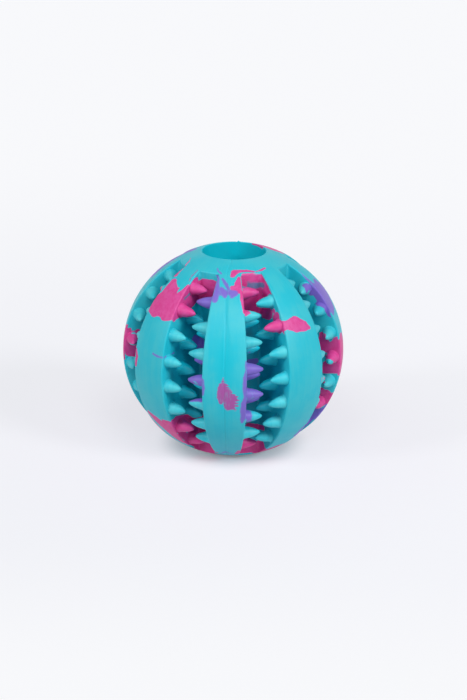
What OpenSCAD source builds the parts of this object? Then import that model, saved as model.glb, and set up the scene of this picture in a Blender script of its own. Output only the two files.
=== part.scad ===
// Treat dispensing ball for pets, moulded in rubber: eight ribs round a hollow
// core, with rows of soft pointed teeth in the grooves and an opening at each end.
// It stands on the flat ring round its lower opening, with the axis along Z.

/* [Ball] */
// Diameter across the middle of the ribs
ball_d = 70; // [64:1:80]
// Height of the outer curve from pole to pole, before the openings are cut
ball_h = 67; // [62:1:72]
// Diameter of the core, which is the floor of the grooves
core_d = 34; // [31:0.5:36]
// Diameter of the treat chamber inside the core
chamber_d = 26; // [24:0.5:28]

/* [Openings] */
// Diameter of the mouth, where the treats go in
mouth_d = 20; // [16:0.5:22]
// Diameter of the lower opening
base_d = 20; // [14:0.5:22]
// Straight length of each opening, from its rim to the chamber's shoulder
neck_len = 7.5; // [5:0.5:9]
// Width of the flat ring round the lower opening, with its broken edge
foot_w = 1.6; // [1:0.1:2.5]

/* [Ribs] */
// Number of ribs
rib_count = 8; // [6:1:9]
// Share of each step round the ball that is rib, the rest being groove
rib_share = 0.5; // [0.42:0.01:0.54]
// Width of the broken edge along the ribs and round the openings
edge_break = 0.5; // [0.2:0.1:0.8]

/* [Teeth] */
// Diameter of a tooth at its root
tooth_d = 3.7; // [3:0.1:4.5]
// Length of a tooth from the rib's side to its tip
tooth_len = 5.3; // [4:0.1:6]
// Radius of the rounded tip
tip_r = 0.5; // [0.4:0.1:0.9]
// Radius of the bow along a tooth's side
tooth_bow_r = 13; // [11:0.5:30]
// Angle between the teeth of a row, seen from the ball's centre
tooth_pitch = 15; // [14:0.5:18]
// Angle by which the rows are turned up from even about the middle
row_turn = 0.8; // [0:0.1:2]
// Depth of the outer row's middle below the ball's surface
row_depth = 2.75; // [2.7:0.05:3.2]
// Distance from the outer row in to the inner row
row_step = 6.5; // [5.5:0.1:7]
// Least gap between a tooth's root and the groove's floor
root_gap = 0.9; // [0.5:0.1:1]

/* [Hidden] */
flanks = ["left", "right"];
rows = ["outer", "inner"];
ribs = [for (i = [1:rib_count]) i];
$fn = 96;

// How far every cut runs past what it cuts
overrun = 1;

// The outer curve is an arc whose centre lies a little off the axis
crown_r = ball_h / 2;
crown_offset = (ball_d - ball_h) / 2;
core_r = core_d / 2;
chamber_r = chamber_d / 2;
mouth_r = mouth_d / 2;
base_r = base_d / 2;

// The first rib faces the front, and the ribs are counted anticlockwise from above
rib_step = 360 / rib_count;
rib_angle = rib_step * rib_share;
front_angle = -90;

tooth_r = tooth_d / 2;
row_r = crown_r - row_depth;
row_end = 90 - tooth_pitch;

// The ball's centre above the flat ring that it stands on
centre_z = crown_z(base_r + foot_w);

// Rubber colours of the marbled mix
turquoise = [0.24, 0.78, 0.83];
pink = [0.88, 0.33, 0.61];
purple = [0.57, 0.47, 0.82];

// Names of the ribs and of the rows of teeth
function rib_name(i) = str("rib_", i);
function row_name(i, flank, row) = str("teeth_", i, "_", flank, "_", row);

// Height of the outer curve above the ball's centre, at radius r from the axis
function crown_z(r) = sqrt(pow(crown_r, 2) - pow(r - crown_offset, 2));

// Height of the plane between the core's wall and a collar
function collar_z(hole_r, land) = crown_z(hole_r + land) - neck_len - (chamber_r - hole_r);

// Direction of the middle of rib i
function rib_middle(i) = front_angle + rib_step * (i - 1);

// A tooth's side is an arc through the root's edge that runs smoothly into the tip
tip_z = tooth_len - tip_r;
side_len = norm([tooth_r, tip_z]);
side_along = [-tooth_r, tip_z] / side_len;
side_inward = [-tip_z, -tooth_r] / side_len;
bow_along = (pow(tooth_bow_r, 2) - pow(tooth_bow_r - tip_r, 2) + pow(side_len, 2)) / (2 * side_len);
bow_depth = sqrt(pow(tooth_bow_r, 2) - pow(bow_along, 2));
bow_centre = [tooth_r, 0] + bow_along * side_along + bow_depth * side_inward;
tip_join_z = bow_centre.y + tooth_bow_r * (tip_z - bow_centre.y) / (tooth_bow_r - tip_r);

// Rows are staggered: one row of a flank has a tooth near the middle of the ball and
// its other row starts half a step from there, and the next flank swaps them
function starts_off_middle(flank, row) = (flank == "right") == (row == "outer");
function row_inset(row) = row == "inner" ? row_step : 0;
function place_r(angle, row) = crown_offset + row_r * cos(angle) - row_inset(row);
function clears_floor(angle, row) = place_r(angle, row) - tooth_r > core_r + root_gap;
function row_angles(flank, row) =
    let (start = row_turn + (starts_off_middle(flank, row) ? tooth_pitch / 2 : 0))
    [for (angle = [start - 90 + (90 % tooth_pitch):tooth_pitch:90])
        if (abs(angle) < row_end && clears_floor(angle, row)) angle];

// The front rib's teeth are mostly purple and the ends of the rows pink
function tooth_rubber(i, angle) =
    abs(angle) > 2 * tooth_pitch ? pink : i == 1 ? purple : turquoise;

module at_centre() {
    translate([0, 0, centre_z]) children();
}

// Half of the ball's outline, on the +X side of the axis
module ball_profile() {
    intersection() {
        translate([crown_offset, 0]) circle(r = crown_r);
        translate([0, -ball_h]) square([ball_d, 2 * ball_h]);
    }
}

// Tube between the treat chamber and the floors of the grooves
module core_wall() {
    low_z = -collar_z(base_r, foot_w);
    high_z = collar_z(mouth_r, edge_break);
    color(turquoise) at_centre() translate([0, 0, low_z]) difference() {
        cylinder(r = core_r, h = high_z - low_z);
        translate([0, 0, -overrun]) cylinder(r = chamber_r, h = high_z - low_z + 2 * overrun);
    }
}

// Half section of a collar: its crown, its opening and the chamber's round shoulder
module collar_profile(hole_r, land) {
    low_z = collar_z(hole_r, land);
    end_z = crown_z(hole_r + land);
    break_out = edge_break + overrun;
    difference() {
        intersection() {
            ball_profile();
            translate([hole_r, low_z]) square([core_r - hole_r, end_z - low_z]);
        }
        translate([hole_r, low_z]) circle(r = chamber_r - hole_r);
        translate([hole_r, end_z]) polygon([
            [-overrun, -break_out],
            [break_out, overrun],
            [-overrun, overrun]
        ]);
    }
}

module mouth_collar() {
    color(turquoise) at_centre() rotate_extrude() collar_profile(mouth_r, edge_break);
}

module base_collar() {
    color(turquoise) at_centre() mirror([0, 0, 1]) rotate_extrude() collar_profile(base_r, foot_w);
}

// Ring that breaks the long edge of a rib whose side lies in the XZ plane, where
// the outline's arc turns about the line through its centre
module edge_ring() {
    translate([crown_offset, 0, 0]) rotate([90, 0, 0]) rotate_extrude()
        translate([crown_r, 0]) polygon([
            [-edge_break - overrun, -overrun],
            [overrun, edge_break + overrun],
            [overrun, -overrun]
        ]);
}

// Slice of the ball outside the core, with its two long edges broken
module rib(i) {
    color(turquoise) at_centre() rotate([0, 0, rib_middle(i) - rib_angle / 2]) difference() {
        rotate_extrude(angle = rib_angle) intersection() {
            ball_profile();
            translate([core_r, -ball_h]) square([ball_d, 2 * ball_h]);
        }
        mirror([0, 1, 0]) edge_ring();
        rotate([0, 0, rib_angle]) edge_ring();
    }
}

// Half section of a tooth that stands on its root
module tooth_profile() {
    intersection() {
        translate(bow_centre) circle(r = tooth_bow_r);
        square([tooth_d, tip_join_z]);
    }
    intersection() {
        translate([0, tip_z]) circle(r = tip_r);
        translate([0, tip_join_z]) square([tooth_d, tooth_len]);
    }
}

// One row of teeth, standing square to a rib's side
module tooth_row(i, flank, row) {
    side = flank == "right" ? 1 : -1;
    at_centre() rotate([0, 0, rib_middle(i) + side * rib_angle / 2])
        for (angle = row_angles(flank, row))
            color(tooth_rubber(i, angle))
                translate([place_r(angle, row), 0, row_r * sin(angle)])
                    rotate([-side * 90, 0, 0]) rotate_extrude() tooth_profile();
}

core_wall();
mouth_collar();
base_collar();
for (i = ribs)
    rib(i);
for (i = ribs, flank = flanks, row = rows)
    tooth_row(i, flank, row);
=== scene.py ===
"""Treat dispensing ball for pets, moulded in one piece from marbled rubber.

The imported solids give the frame. Every moulded feature gets a rounded mesh of its own here: the
core's wall, the two collars, the eight ribs and the rows of pointed teeth between them. All of
them share one marbled rubber, so that its strokes of colour run on across ribs, floors and teeth.
"""

from __future__ import annotations

import logging
import math
import random
from collections.abc import Iterable, Sequence
from dataclasses import dataclass, field
from enum import Enum

import bmesh
import bpy
import numpy as np
from mathutils import Euler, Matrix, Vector

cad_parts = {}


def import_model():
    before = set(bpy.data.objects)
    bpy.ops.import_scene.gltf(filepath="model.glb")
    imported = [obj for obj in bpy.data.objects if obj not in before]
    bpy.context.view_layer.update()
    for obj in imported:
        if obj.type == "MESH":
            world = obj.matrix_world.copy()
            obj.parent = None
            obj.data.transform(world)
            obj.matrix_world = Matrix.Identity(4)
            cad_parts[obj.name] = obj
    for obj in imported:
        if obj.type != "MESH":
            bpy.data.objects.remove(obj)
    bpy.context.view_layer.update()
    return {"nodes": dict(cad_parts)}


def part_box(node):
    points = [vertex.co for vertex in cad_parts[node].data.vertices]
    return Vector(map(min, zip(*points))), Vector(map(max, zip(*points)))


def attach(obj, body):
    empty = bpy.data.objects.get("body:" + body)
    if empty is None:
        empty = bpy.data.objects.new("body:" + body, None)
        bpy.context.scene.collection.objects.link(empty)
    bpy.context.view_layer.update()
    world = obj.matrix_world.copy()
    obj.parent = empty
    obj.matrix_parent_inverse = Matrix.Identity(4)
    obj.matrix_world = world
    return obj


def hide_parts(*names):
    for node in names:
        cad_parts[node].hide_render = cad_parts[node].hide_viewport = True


log = logging.getLogger("treat_ball")

MM = 0.001
BODY = "root"

# Attributes that hold the marbling and mark the teeth for their painted highlight, and what the names of the tooth
# rows' pieces start with
SKIN_PAINT = "skin_paint"
GROOVE_PAINT = "groove_paint"
ON_TEETH = "thin"
POINTED = "pointed_"

Point = tuple[float, float, float]
Ring = list[Point]
Path = tuple[tuple[float, float, float, float], ...]
Screen = tuple[float, float, float]
Socket = bpy.types.NodeSocket


class Flank(Enum):
    """Side of a rib, seen from outside the ball, and the turn that leads to it."""

    LEFT = -1
    RIGHT = 1


class Row(Enum):
    """Row of teeth on a rib's side."""

    OUTER = "outer"
    INNER = "inner"


class Rubber(Enum):
    """Colour of one of the rubbers in the marbled mix."""

    TURQUOISE = "turquoise"
    PINK = "pink"
    PURPLE = "purple"
    SMEAR = "smear of pink"


class Layer(Enum):
    """Surfaces of the ball that a stroke of colour shows on."""

    SKIN = "outer curve"
    SIDES = "sides of the grooves, and teeth"
    FLOOR = "floors of the grooves, and openings"
    DEEP = "all but the outer curve"


# ---------------------------------------------------------------------------- wiring of node trees


class Wiring:
    """Adds nodes to one tree and joins them."""

    def __init__(self, tree: bpy.types.NodeTree) -> None:
        """Starts on a tree.

        Args:
            tree: The shader or geometry tree that the nodes are added to.
        """
        self.tree = tree

    def node(self, kind: str, **settings: object) -> bpy.types.Node:
        """Adds a node.

        Args:
            kind: The node's type name.
            **settings: Values of the node's own options.

        Returns:
            The new node.
        """
        made = self.tree.nodes.new(kind)
        for name, value in settings.items():
            setattr(made, name, value)
        return made

    def feed(self, socket: Socket, value: object) -> None:
        """Gives a socket a value, or links it.

        Args:
            socket: The input socket.
            value: A number, a vector, a colour or another node's output socket.
        """
        if isinstance(value, Socket):
            self.tree.links.new(value, socket)
        elif value is not None:
            socket.default_value = value

    def math(self, operation: str, *values: object, clamp: bool = False) -> Socket:
        """Adds a Math node.

        Args:
            operation: The operation's name.
            *values: Numbers or sockets, in the order of the node's inputs.
            clamp: Whether the result is kept between 0 and 1.

        Returns:
            The result's socket.
        """
        made = self.node("ShaderNodeMath", operation=operation, use_clamp=clamp)
        for socket, value in zip(made.inputs, values):
            self.feed(socket, value)
        return made.outputs[0]

    def vector(self, operation: str, *values: object, scale: object = None) -> Socket:
        """Adds a Vector Math node.

        Args:
            operation: The operation's name.
            *values: Vectors or sockets, in the order of the node's inputs.
            scale: The factor of a SCALE operation.

        Returns:
            The result's socket, which is a number for LENGTH and DOT_PRODUCT.
        """
        made = self.node("ShaderNodeVectorMath", operation=operation)
        for socket, value in zip(made.inputs, values):
            self.feed(socket, value)
        self.feed(made.inputs[3], scale)
        return made.outputs[1 if operation in ("LENGTH", "DOT_PRODUCT") else 0]

    def combine(self, x: object, y: object, z: object) -> Socket:
        """Joins three numbers or sockets to a vector and returns its socket."""
        made = self.node("ShaderNodeCombineXYZ")
        for socket, value in zip(made.inputs, (x, y, z)):
            self.feed(socket, value)
        return made.outputs[0]

    def split(self, vector: object) -> tuple[Socket, ...]:
        """Splits a vector and returns the sockets of its three parts."""
        made = self.node("ShaderNodeSeparateXYZ")
        self.feed(made.inputs[0], vector)
        return tuple(made.outputs)

    def hypot(self, first: object, second: object) -> Socket:
        """Joins two legs of a right angle and returns the socket of the length between their ends."""
        squares = [self.math("MULTIPLY", leg, leg) for leg in (first, second)]
        return self.math("SQRT", self.math("ADD", *squares))

    def ramp(self, value: object, low: float, high: float) -> Socket:
        """Maps a value to a share that eases in and out.

        Args:
            value: The socket that is mapped.
            low: The value that gives 0.
            high: The value that gives 1.

        Returns:
            The share's socket.
        """
        made = self.node("ShaderNodeMapRange", interpolation_type="SMOOTHSTEP")
        for name, setting in (("Value", value), ("From Min", low), ("From Max", high)):
            self.feed(made.inputs[name], setting)
        return made.outputs[0]

    def noise(self, vector: object, scale: float, detail: float = 2.0, roughness: float = 0.5) -> bpy.types.Node:
        """Adds a noise.

        Args:
            vector: Where it is read.
            scale: Waves per unit.
            detail: Number of finer layers.
            roughness: Strength of the finer layers.

        Returns:
            The node, whose Fac is a number and whose Color is three.
        """
        made = self.node("ShaderNodeTexNoise", noise_dimensions="3D")
        for name, setting in (("Vector", vector), ("Scale", scale), ("Detail", detail), ("Roughness", roughness)):
            self.feed(made.inputs[name], setting)
        return made

    def mix(self, share: object, first: object, second: object) -> Socket:
        """Mixes two colours.

        Args:
            share: How much of the second colour shows.
            first: Colour or socket at share 0.
            second: Colour or socket at share 1.

        Returns:
            The colour's socket.
        """
        made = self.node("ShaderNodeMix", data_type="RGBA")
        self.feed(made.inputs["Factor"], share)
        self.feed(made.inputs[6], first)
        self.feed(made.inputs[7], second)
        return made.outputs[2]


def linear(red: float, green: float, blue: float) -> tuple[float, float, float, float]:
    """Turns a colour as a screen shows it, each part from 0 to 255, into the shader's linear one."""
    parts = [value / 255 for value in (red, green, blue)]
    return (*[p / 12.92 if p <= 0.04045 else ((p + 0.055) / 1.055) ** 2.4 for p in parts], 1.0)


# ---------------------------------------------------------------------------------- sizes and form


@dataclass(frozen=True)
class Crown:
    """The outer curve: an arc whose centre lies a little off the axis, turned round it.

    Attributes:
        radius: Radius of the arc.
        offset: Distance of the arc's centre from the axis.
        centre_z: Height of the ball's centre.
    """

    radius: float
    offset: float
    centre_z: float

    def point(self, latitude: float, depth: float = 0.0) -> tuple[float, float]:
        """Gives a point on or under the curve.

        Args:
            latitude: Angle above the middle, in radians.
            depth: Distance under the surface.

        Returns:
            Distance from the axis, and height above the ball's centre.
        """
        reach = self.radius - depth
        return self.offset + reach * math.cos(latitude), reach * math.sin(latitude)

    def latitude_of(self, distance: float, depth: float = 0.0) -> float:
        """Gives the latitude in radians at which the curve is a distance from the axis, seen at a depth."""
        return math.acos((distance - self.offset) / (self.radius - depth))

    def place(self, azimuth: float, distance: float, height: float) -> Point:
        """Turns an azimuth in radians, a distance from the axis and a height over the centre into a point."""
        return (distance * math.cos(azimuth), distance * math.sin(azimuth), self.centre_z + height)


@dataclass(frozen=True)
class PartingLine:
    """The fine groove that the halves of the mould leave, which wanders a little.

    Attributes:
        depth: Depth of the groove.
        width: Distance from its middle at which it has nearly gone.
        rib_offset: How far right of the middle it lies low on a rib.
        rib_bend: How much further right the bend takes it at the rib's top.
        bend_start: Height at which the bend starts.
        bend_length: Height over which it comes to its full size.
        bend_limit: Share of that height up to which it goes on.
        collar_offset: How far right of the middle it lies on a collar, near the opening.
        collar_slope: How much further right it goes on the way out from there.
        collar_r: Distance from the axis at which it has that offset.
        meeting_r: Distance from the axis at which the collar's line gives way to the rib's.
        meeting_length: Distance over which it does so.
    """

    depth: float = 0.16 * MM
    width: float = 0.27 * MM
    rib_offset: float = -0.05 * MM
    rib_bend: float = -0.6 * MM
    bend_start: float = -20 * MM
    bend_length: float = 48 * MM
    bend_limit: float = 1.04
    collar_offset: float = -0.2 * MM
    collar_slope: float = -0.16
    collar_r: float = 11.5 * MM
    meeting_r: float = 15 * MM
    meeting_length: float = 3 * MM

    def sideways(self, distance: float, height: float) -> float:
        """Gives how far the line lies to the right of the ball's middle, seen from the front.

        Args:
            distance: Distance from the axis.
            height: Height above the ball's centre.

        Returns:
            The sideways distance.
        """
        climb = max((height - self.bend_start) / self.bend_length, 0.0)
        on_rib = self.rib_offset + self.rib_bend * min(climb, self.bend_limit) ** 8
        on_collar = self.collar_offset + self.collar_slope * (distance - self.collar_r)
        share = min(max((distance - self.meeting_r) / self.meeting_length, 0.0), 1.0)
        return on_collar * (1 - share) + on_rib * share

    def sink(self, away: float) -> float:
        """Gives the groove's depth at a distance from its middle."""
        return self.depth * math.exp(-((away / self.width) ** 2) * 2)


@dataclass(frozen=True)
class BallSizes:
    """Sizes of the ball in metres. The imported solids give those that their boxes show.

    Attributes:
        crown: The outer curve.
        core_r: Radius of the core's outside, which is the floor of the grooves.
        wall_low: Height of the core wall's lower end over the ball's centre.
        wall_high: Height of its upper end.
        rib_names: The ribs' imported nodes, from the front.
        chamber_r: Radius of the treat chamber.
        mouth_r: Radius of the mouth.
        base_r: Radius of the lower opening.
        foot_w: Width of the flat ring that the ball stands on.
        rib_share: Share of each step round the ball that is rib.
        corner_r: Radius of the rounded corners over the grooves' ends.
        parting: The parting line.
    """

    crown: Crown
    core_r: float
    wall_low: float
    wall_high: float
    rib_names: tuple[str, ...]
    chamber_r: float = 13 * MM
    mouth_r: float = 10 * MM
    base_r: float = 10 * MM
    foot_w: float = 1.6 * MM
    rib_share: float = 0.5
    corner_r: float = 0.8 * MM
    parting: PartingLine = field(default_factory=PartingLine)

    @classmethod
    def from_frame(cls, nodes: Iterable[str]) -> BallSizes:
        """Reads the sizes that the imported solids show.

        Args:
            nodes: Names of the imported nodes.

        Returns:
            The ball's sizes.
        """
        ribs = tuple(sorted((n for n in nodes if n.startswith("rib_")), key=lambda n: int(n[4:])))
        rib_low, rib_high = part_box(ribs[0])
        wall_low, wall_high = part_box("core_wall")
        centre_z = (rib_low.z + rib_high.z) / 2
        core_r = wall_high.x
        reach, half_height = -rib_low.y, rib_high.z - centre_z
        rise = reach - core_r
        radius = (half_height**2 + rise**2) / (2 * rise)
        return cls(
            crown=Crown(radius, reach - radius, centre_z),
            core_r=core_r,
            wall_low=wall_low.z - centre_z,
            wall_high=wall_high.z - centre_z,
            rib_names=ribs,
        )

    @property
    def rib_half(self) -> float:
        """Half of a rib's angle round the axis, in radians."""
        return math.pi * self.rib_share / len(self.rib_names)

    def rib_middle(self, number: int) -> float:
        """Gives the azimuth of a rib's middle in radians; rib 1 faces the front."""
        return math.radians(-90) + 2 * math.pi * (number - 1) / len(self.rib_names)

    @property
    def corner(self) -> tuple[float, float]:
        """Height of the centre of the rounded corner over a groove's end, and the latitude where it meets the crown."""
        reach = self.crown.radius - self.corner_r
        aside = self.core_r - self.corner_r - self.crown.offset
        height = math.sqrt(reach**2 - aside**2)
        return height, math.atan2(height, aside)

    def floor(self, height: float) -> float:
        """Gives a groove floor's distance from the axis at a height, round its ends' corners."""
        over = min(max(abs(height) - self.corner[0], 0.0), self.corner_r)
        return self.core_r - self.corner_r + math.sqrt(self.corner_r**2 - over**2)


# ------------------------------------------------------------------------------- meshes and pieces


def skin(name: str, rings: Sequence[Ring], capped: bool, sharp_degrees: float = 50.0) -> bpy.types.Object:
    """Builds a closed mesh through a series of closed rings.

    Args:
        name: The object's name.
        rings: Rings of points, all with as many points.
        capped: Whether the first and last ring are filled; otherwise they join each other.
        sharp_degrees: Angle between faces above which an edge stays sharp.

    Returns:
        The object, at the origin, with its faces outward and smooth.
    """
    mesh = bpy.data.meshes.new(name)
    form = bmesh.new()
    grid = [[form.verts.new(point) for point in ring] for ring in rings]
    pairs = list(zip(grid, grid[1:])) if capped else list(zip(grid, grid[1:] + grid[:1]))
    for low, high in pairs:
        for i in range(len(low)):
            j = (i + 1) % len(low)
            form.faces.new((low[i], low[j], high[j], high[i]))
    if capped:
        form.faces.new(grid[0])
        form.faces.new(reversed(grid[-1]))
    bmesh.ops.remove_doubles(form, verts=form.verts, dist=1e-7)
    bmesh.ops.recalc_face_normals(form, faces=form.faces)
    finish_shading(form, sharp_degrees)
    form.to_mesh(mesh)
    form.free()
    piece = bpy.data.objects.new(name, mesh)
    bpy.context.scene.collection.objects.link(piece)
    return piece


def finish_shading(form: bmesh.types.BMesh, sharp_degrees: float) -> None:
    """Makes faces smooth, and keeps the edges between steep ones sharp.

    Args:
        form: The mesh that is being edited.
        sharp_degrees: Angle between faces above which an edge stays sharp.
    """
    limit = math.radians(sharp_degrees)
    for face in form.faces:
        face.smooth = True
    for edge in form.edges:
        edge.smooth = len(edge.link_faces) == 2 and edge.calc_face_angle() < limit


def hand_over(piece: bpy.types.Object, node: str, material: bpy.types.Material, marbling: Marbling) -> None:
    """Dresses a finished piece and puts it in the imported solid's place.

    Args:
        piece: The finished mesh object.
        node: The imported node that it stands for.
        material: Its finish.
        marbling: The strokes of colour that run through it.
    """
    if not piece.data.materials:
        piece.data.materials.append(material)
    marbling.paint(piece)
    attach(piece, BODY)
    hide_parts(node)
    log.info("%s stands for %s: %d faces", piece.name, node, len(piece.data.polygons))


def arc(centre: tuple[float, float], radius: float, start: float, end: float, steps: int) -> list[tuple[float, float]]:
    """Gives points along an arc.

    Args:
        centre: The arc's centre.
        radius: Its radius.
        start: Angle of the first point, in radians.
        end: Angle of the last point.
        steps: Number of chords.

    Returns:
        The points, steps + 1 of them.
    """
    return [
        (
            centre[0] + radius * math.cos(start + (end - start) * i / steps),
            centre[1] + radius * math.sin(start + (end - start) * i / steps),
        )
        for i in range(steps + 1)
    ]


@dataclass(frozen=True)
class Turning:
    """Columns round the axis for the turned pieces, closer together at the parting line.

    Attributes:
        sizes: The ball's sizes.
        columns: Number of even columns.
        window: Angle from the parting line within which they follow it, in radians.
        fine: Angles from it at which there are more columns, in degrees.
    """

    sizes: BallSizes
    columns: int = 320
    window: float = math.radians(12)
    fine: tuple[float, ...] = (0.45, 0.9, 1.9, 2.4)

    def bases(self) -> list[float]:
        """Gives the columns' azimuths in radians before they follow the parting line."""
        degrees = {360 * i / self.columns for i in range(self.columns)}
        for middle in (90.0, 270.0):
            degrees |= {middle + side * step for step in self.fine for side in (-1, 1)}
        return [math.radians(value) for value in sorted(degrees)]

    def ring(self, profile: Sequence[tuple[float, float]], base: float, marked: Sequence[bool]) -> Ring:
        """Places a profile at one column.

        Args:
            profile: Distances from the axis and heights over the ball's centre.
            base: The column's azimuth.
            marked: For each point, whether the parting line shows there.

        Returns:
            The ring of points.
        """
        ring = []
        for (distance, height), line in zip(profile, marked):
            front = math.sin(base) < 0
            middle = -math.pi / 2 if front else math.pi / 2
            away = math.remainder(base - middle, 2 * math.pi)
            azimuth = base
            if line and abs(away) < self.window:
                side = self.sizes.parting.sideways(distance, height) * (1 if front else -1)
                azimuth += side / distance * (1 - abs(away) / self.window)
                sink = self.sizes.parting.sink(away * distance)
                height -= math.copysign(sink, height)
            ring.append(self.sizes.crown.place(azimuth, distance, height))
        return ring


@dataclass(frozen=True)
class CoreWall:
    """The tube between the treat chamber and the floors of the grooves.

    Attributes:
        sizes: The ball's sizes.
        name: Name of the piece.
        rows: Number of faces from end to end.
    """

    sizes: BallSizes
    name: str = "floor_of_grooves"
    rows: int = 100

    def build(self) -> bpy.types.Object:
        """Builds the tube and returns it."""
        s = self.sizes
        levels = [s.wall_low + (s.wall_high - s.wall_low) * i / self.rows for i in range(self.rows + 1)]
        profile = [(s.chamber_r, s.wall_low), *[(s.core_r, level) for level in levels], (s.chamber_r, s.wall_high)]
        turning = Turning(s)
        unmarked = [False] * len(profile)
        rings = [turning.ring(profile, base, unmarked) for base in turning.bases()]
        return skin(self.name, rings, capped=False)


@dataclass(frozen=True)
class Collar:
    """A crown round one opening, with the opening's wall and the chamber's shoulder.

    Attributes:
        sizes: The ball's sizes.
        name: Name of the piece.
        node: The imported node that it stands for.
        hole_r: Radius of the opening.
        plane: Height of the plane between the collar and the core's wall.
        foot_w: Width of the flat ring that the ball stands on, or 0.
        rim_r: Radius of the rounding at the opening's rim.
        nub: Height of the wisp of rubber that the mould leaves on the rim, or 0.
        nub_azimuth: Direction that the wisp stands in, in radians.
        nub_width: Distance over which it fades.
        nub_above: Height over the plane from which points are raised.
    """

    sizes: BallSizes
    name: str
    node: str
    hole_r: float
    plane: float
    foot_w: float = 0.0
    rim_r: float = 0.6 * MM
    nub: float = 0.0
    nub_azimuth: float = math.radians(86.6)
    nub_width: float = 0.32 * MM
    nub_above: float = 8 * MM

    def profile(self) -> tuple[list[tuple[float, float]], list[bool]]:
        """Draws half of the section.

        Returns:
            Distances from the axis and heights over the ball's centre, and for each point
            whether the parting line shows there.
        """
        s, crown = self.sizes, self.sizes.crown
        side = math.copysign(1.0, self.plane)
        plane = abs(self.plane)
        height, corner_end = s.corner
        groove_end = [(s.core_r, plane + (height - plane) * i / 4) for i in range(4)]
        rounding = arc((s.core_r - s.corner_r, height), s.corner_r, 0.0, corner_end, 8)
        if self.foot_w:
            foot = self.hole_r + self.foot_w
            crown_end = crown.latitude_of(foot)
            flat_z = crown.point(crown_end)[1]
            rim = arc((self.hole_r + self.rim_r, flat_z - self.rim_r), self.rim_r, math.pi / 2, math.pi, 6)
            foot_line = [(foot - (self.foot_w - self.rim_r) * share, flat_z) for share in (0.04, 0.5)]
        else:
            reach = crown.radius - self.rim_r
            aside = self.hole_r + self.rim_r - crown.offset
            rim_z = math.sqrt(reach**2 - aside**2)
            crown_end = math.atan2(rim_z, aside)
            rim = arc((self.hole_r + self.rim_r, rim_z), self.rim_r, crown_end, math.pi, 9)
            foot_line = []
        shares = (0.015, *[i / 22 for i in range(1, 22)], 0.985)
        crown_line = [crown.point(corner_end + (crown_end - corner_end) * share) for share in shares]
        shoulder_r = s.chamber_r - self.hole_r
        neck_end = plane + shoulder_r
        rim_foot = rim[-1][1]
        neck = [(self.hole_r, rim_foot + (neck_end - rim_foot) * i / 5) for i in range(1, 5)]
        shoulder = arc((self.hole_r, plane), shoulder_r, math.pi / 2, 0.0, 8)
        outside = [*groove_end, *rounding[:5]]
        parted = [*rounding[5:], *crown_line, *foot_line, *rim[:3]]
        inside = [*rim[3:], *neck, *shoulder]
        marks = [False] * len(outside) + [True] * len(parted) + [False] * len(inside)
        return [(distance, side * z) for distance, z in outside + parted + inside], marks

    def build(self) -> bpy.types.Object:
        """Builds the collar and returns it."""
        profile, marks = self.profile()
        turning = Turning(self.sizes)
        rings = [turning.ring(profile, base, marks) for base in turning.bases()]
        if self.nub:
            rings = [[self.with_nub(point) for point in ring] for ring in rings]
        return skin(self.name, rings, capped=False)

    def with_nub(self, point: Point) -> Point:
        """Raises a point near the wisp of rubber on the rim and returns it."""
        if point[2] < self.sizes.crown.centre_z + self.plane + self.nub_above:
            return point
        top = self.hole_r + self.rim_r
        spot = Vector((top * math.cos(self.nub_azimuth), top * math.sin(self.nub_azimuth)))
        away = (Vector(point[:2]) - spot).length / self.nub_width
        return point[0], point[1], point[2] + self.nub * math.exp(-(away**2))


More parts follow.
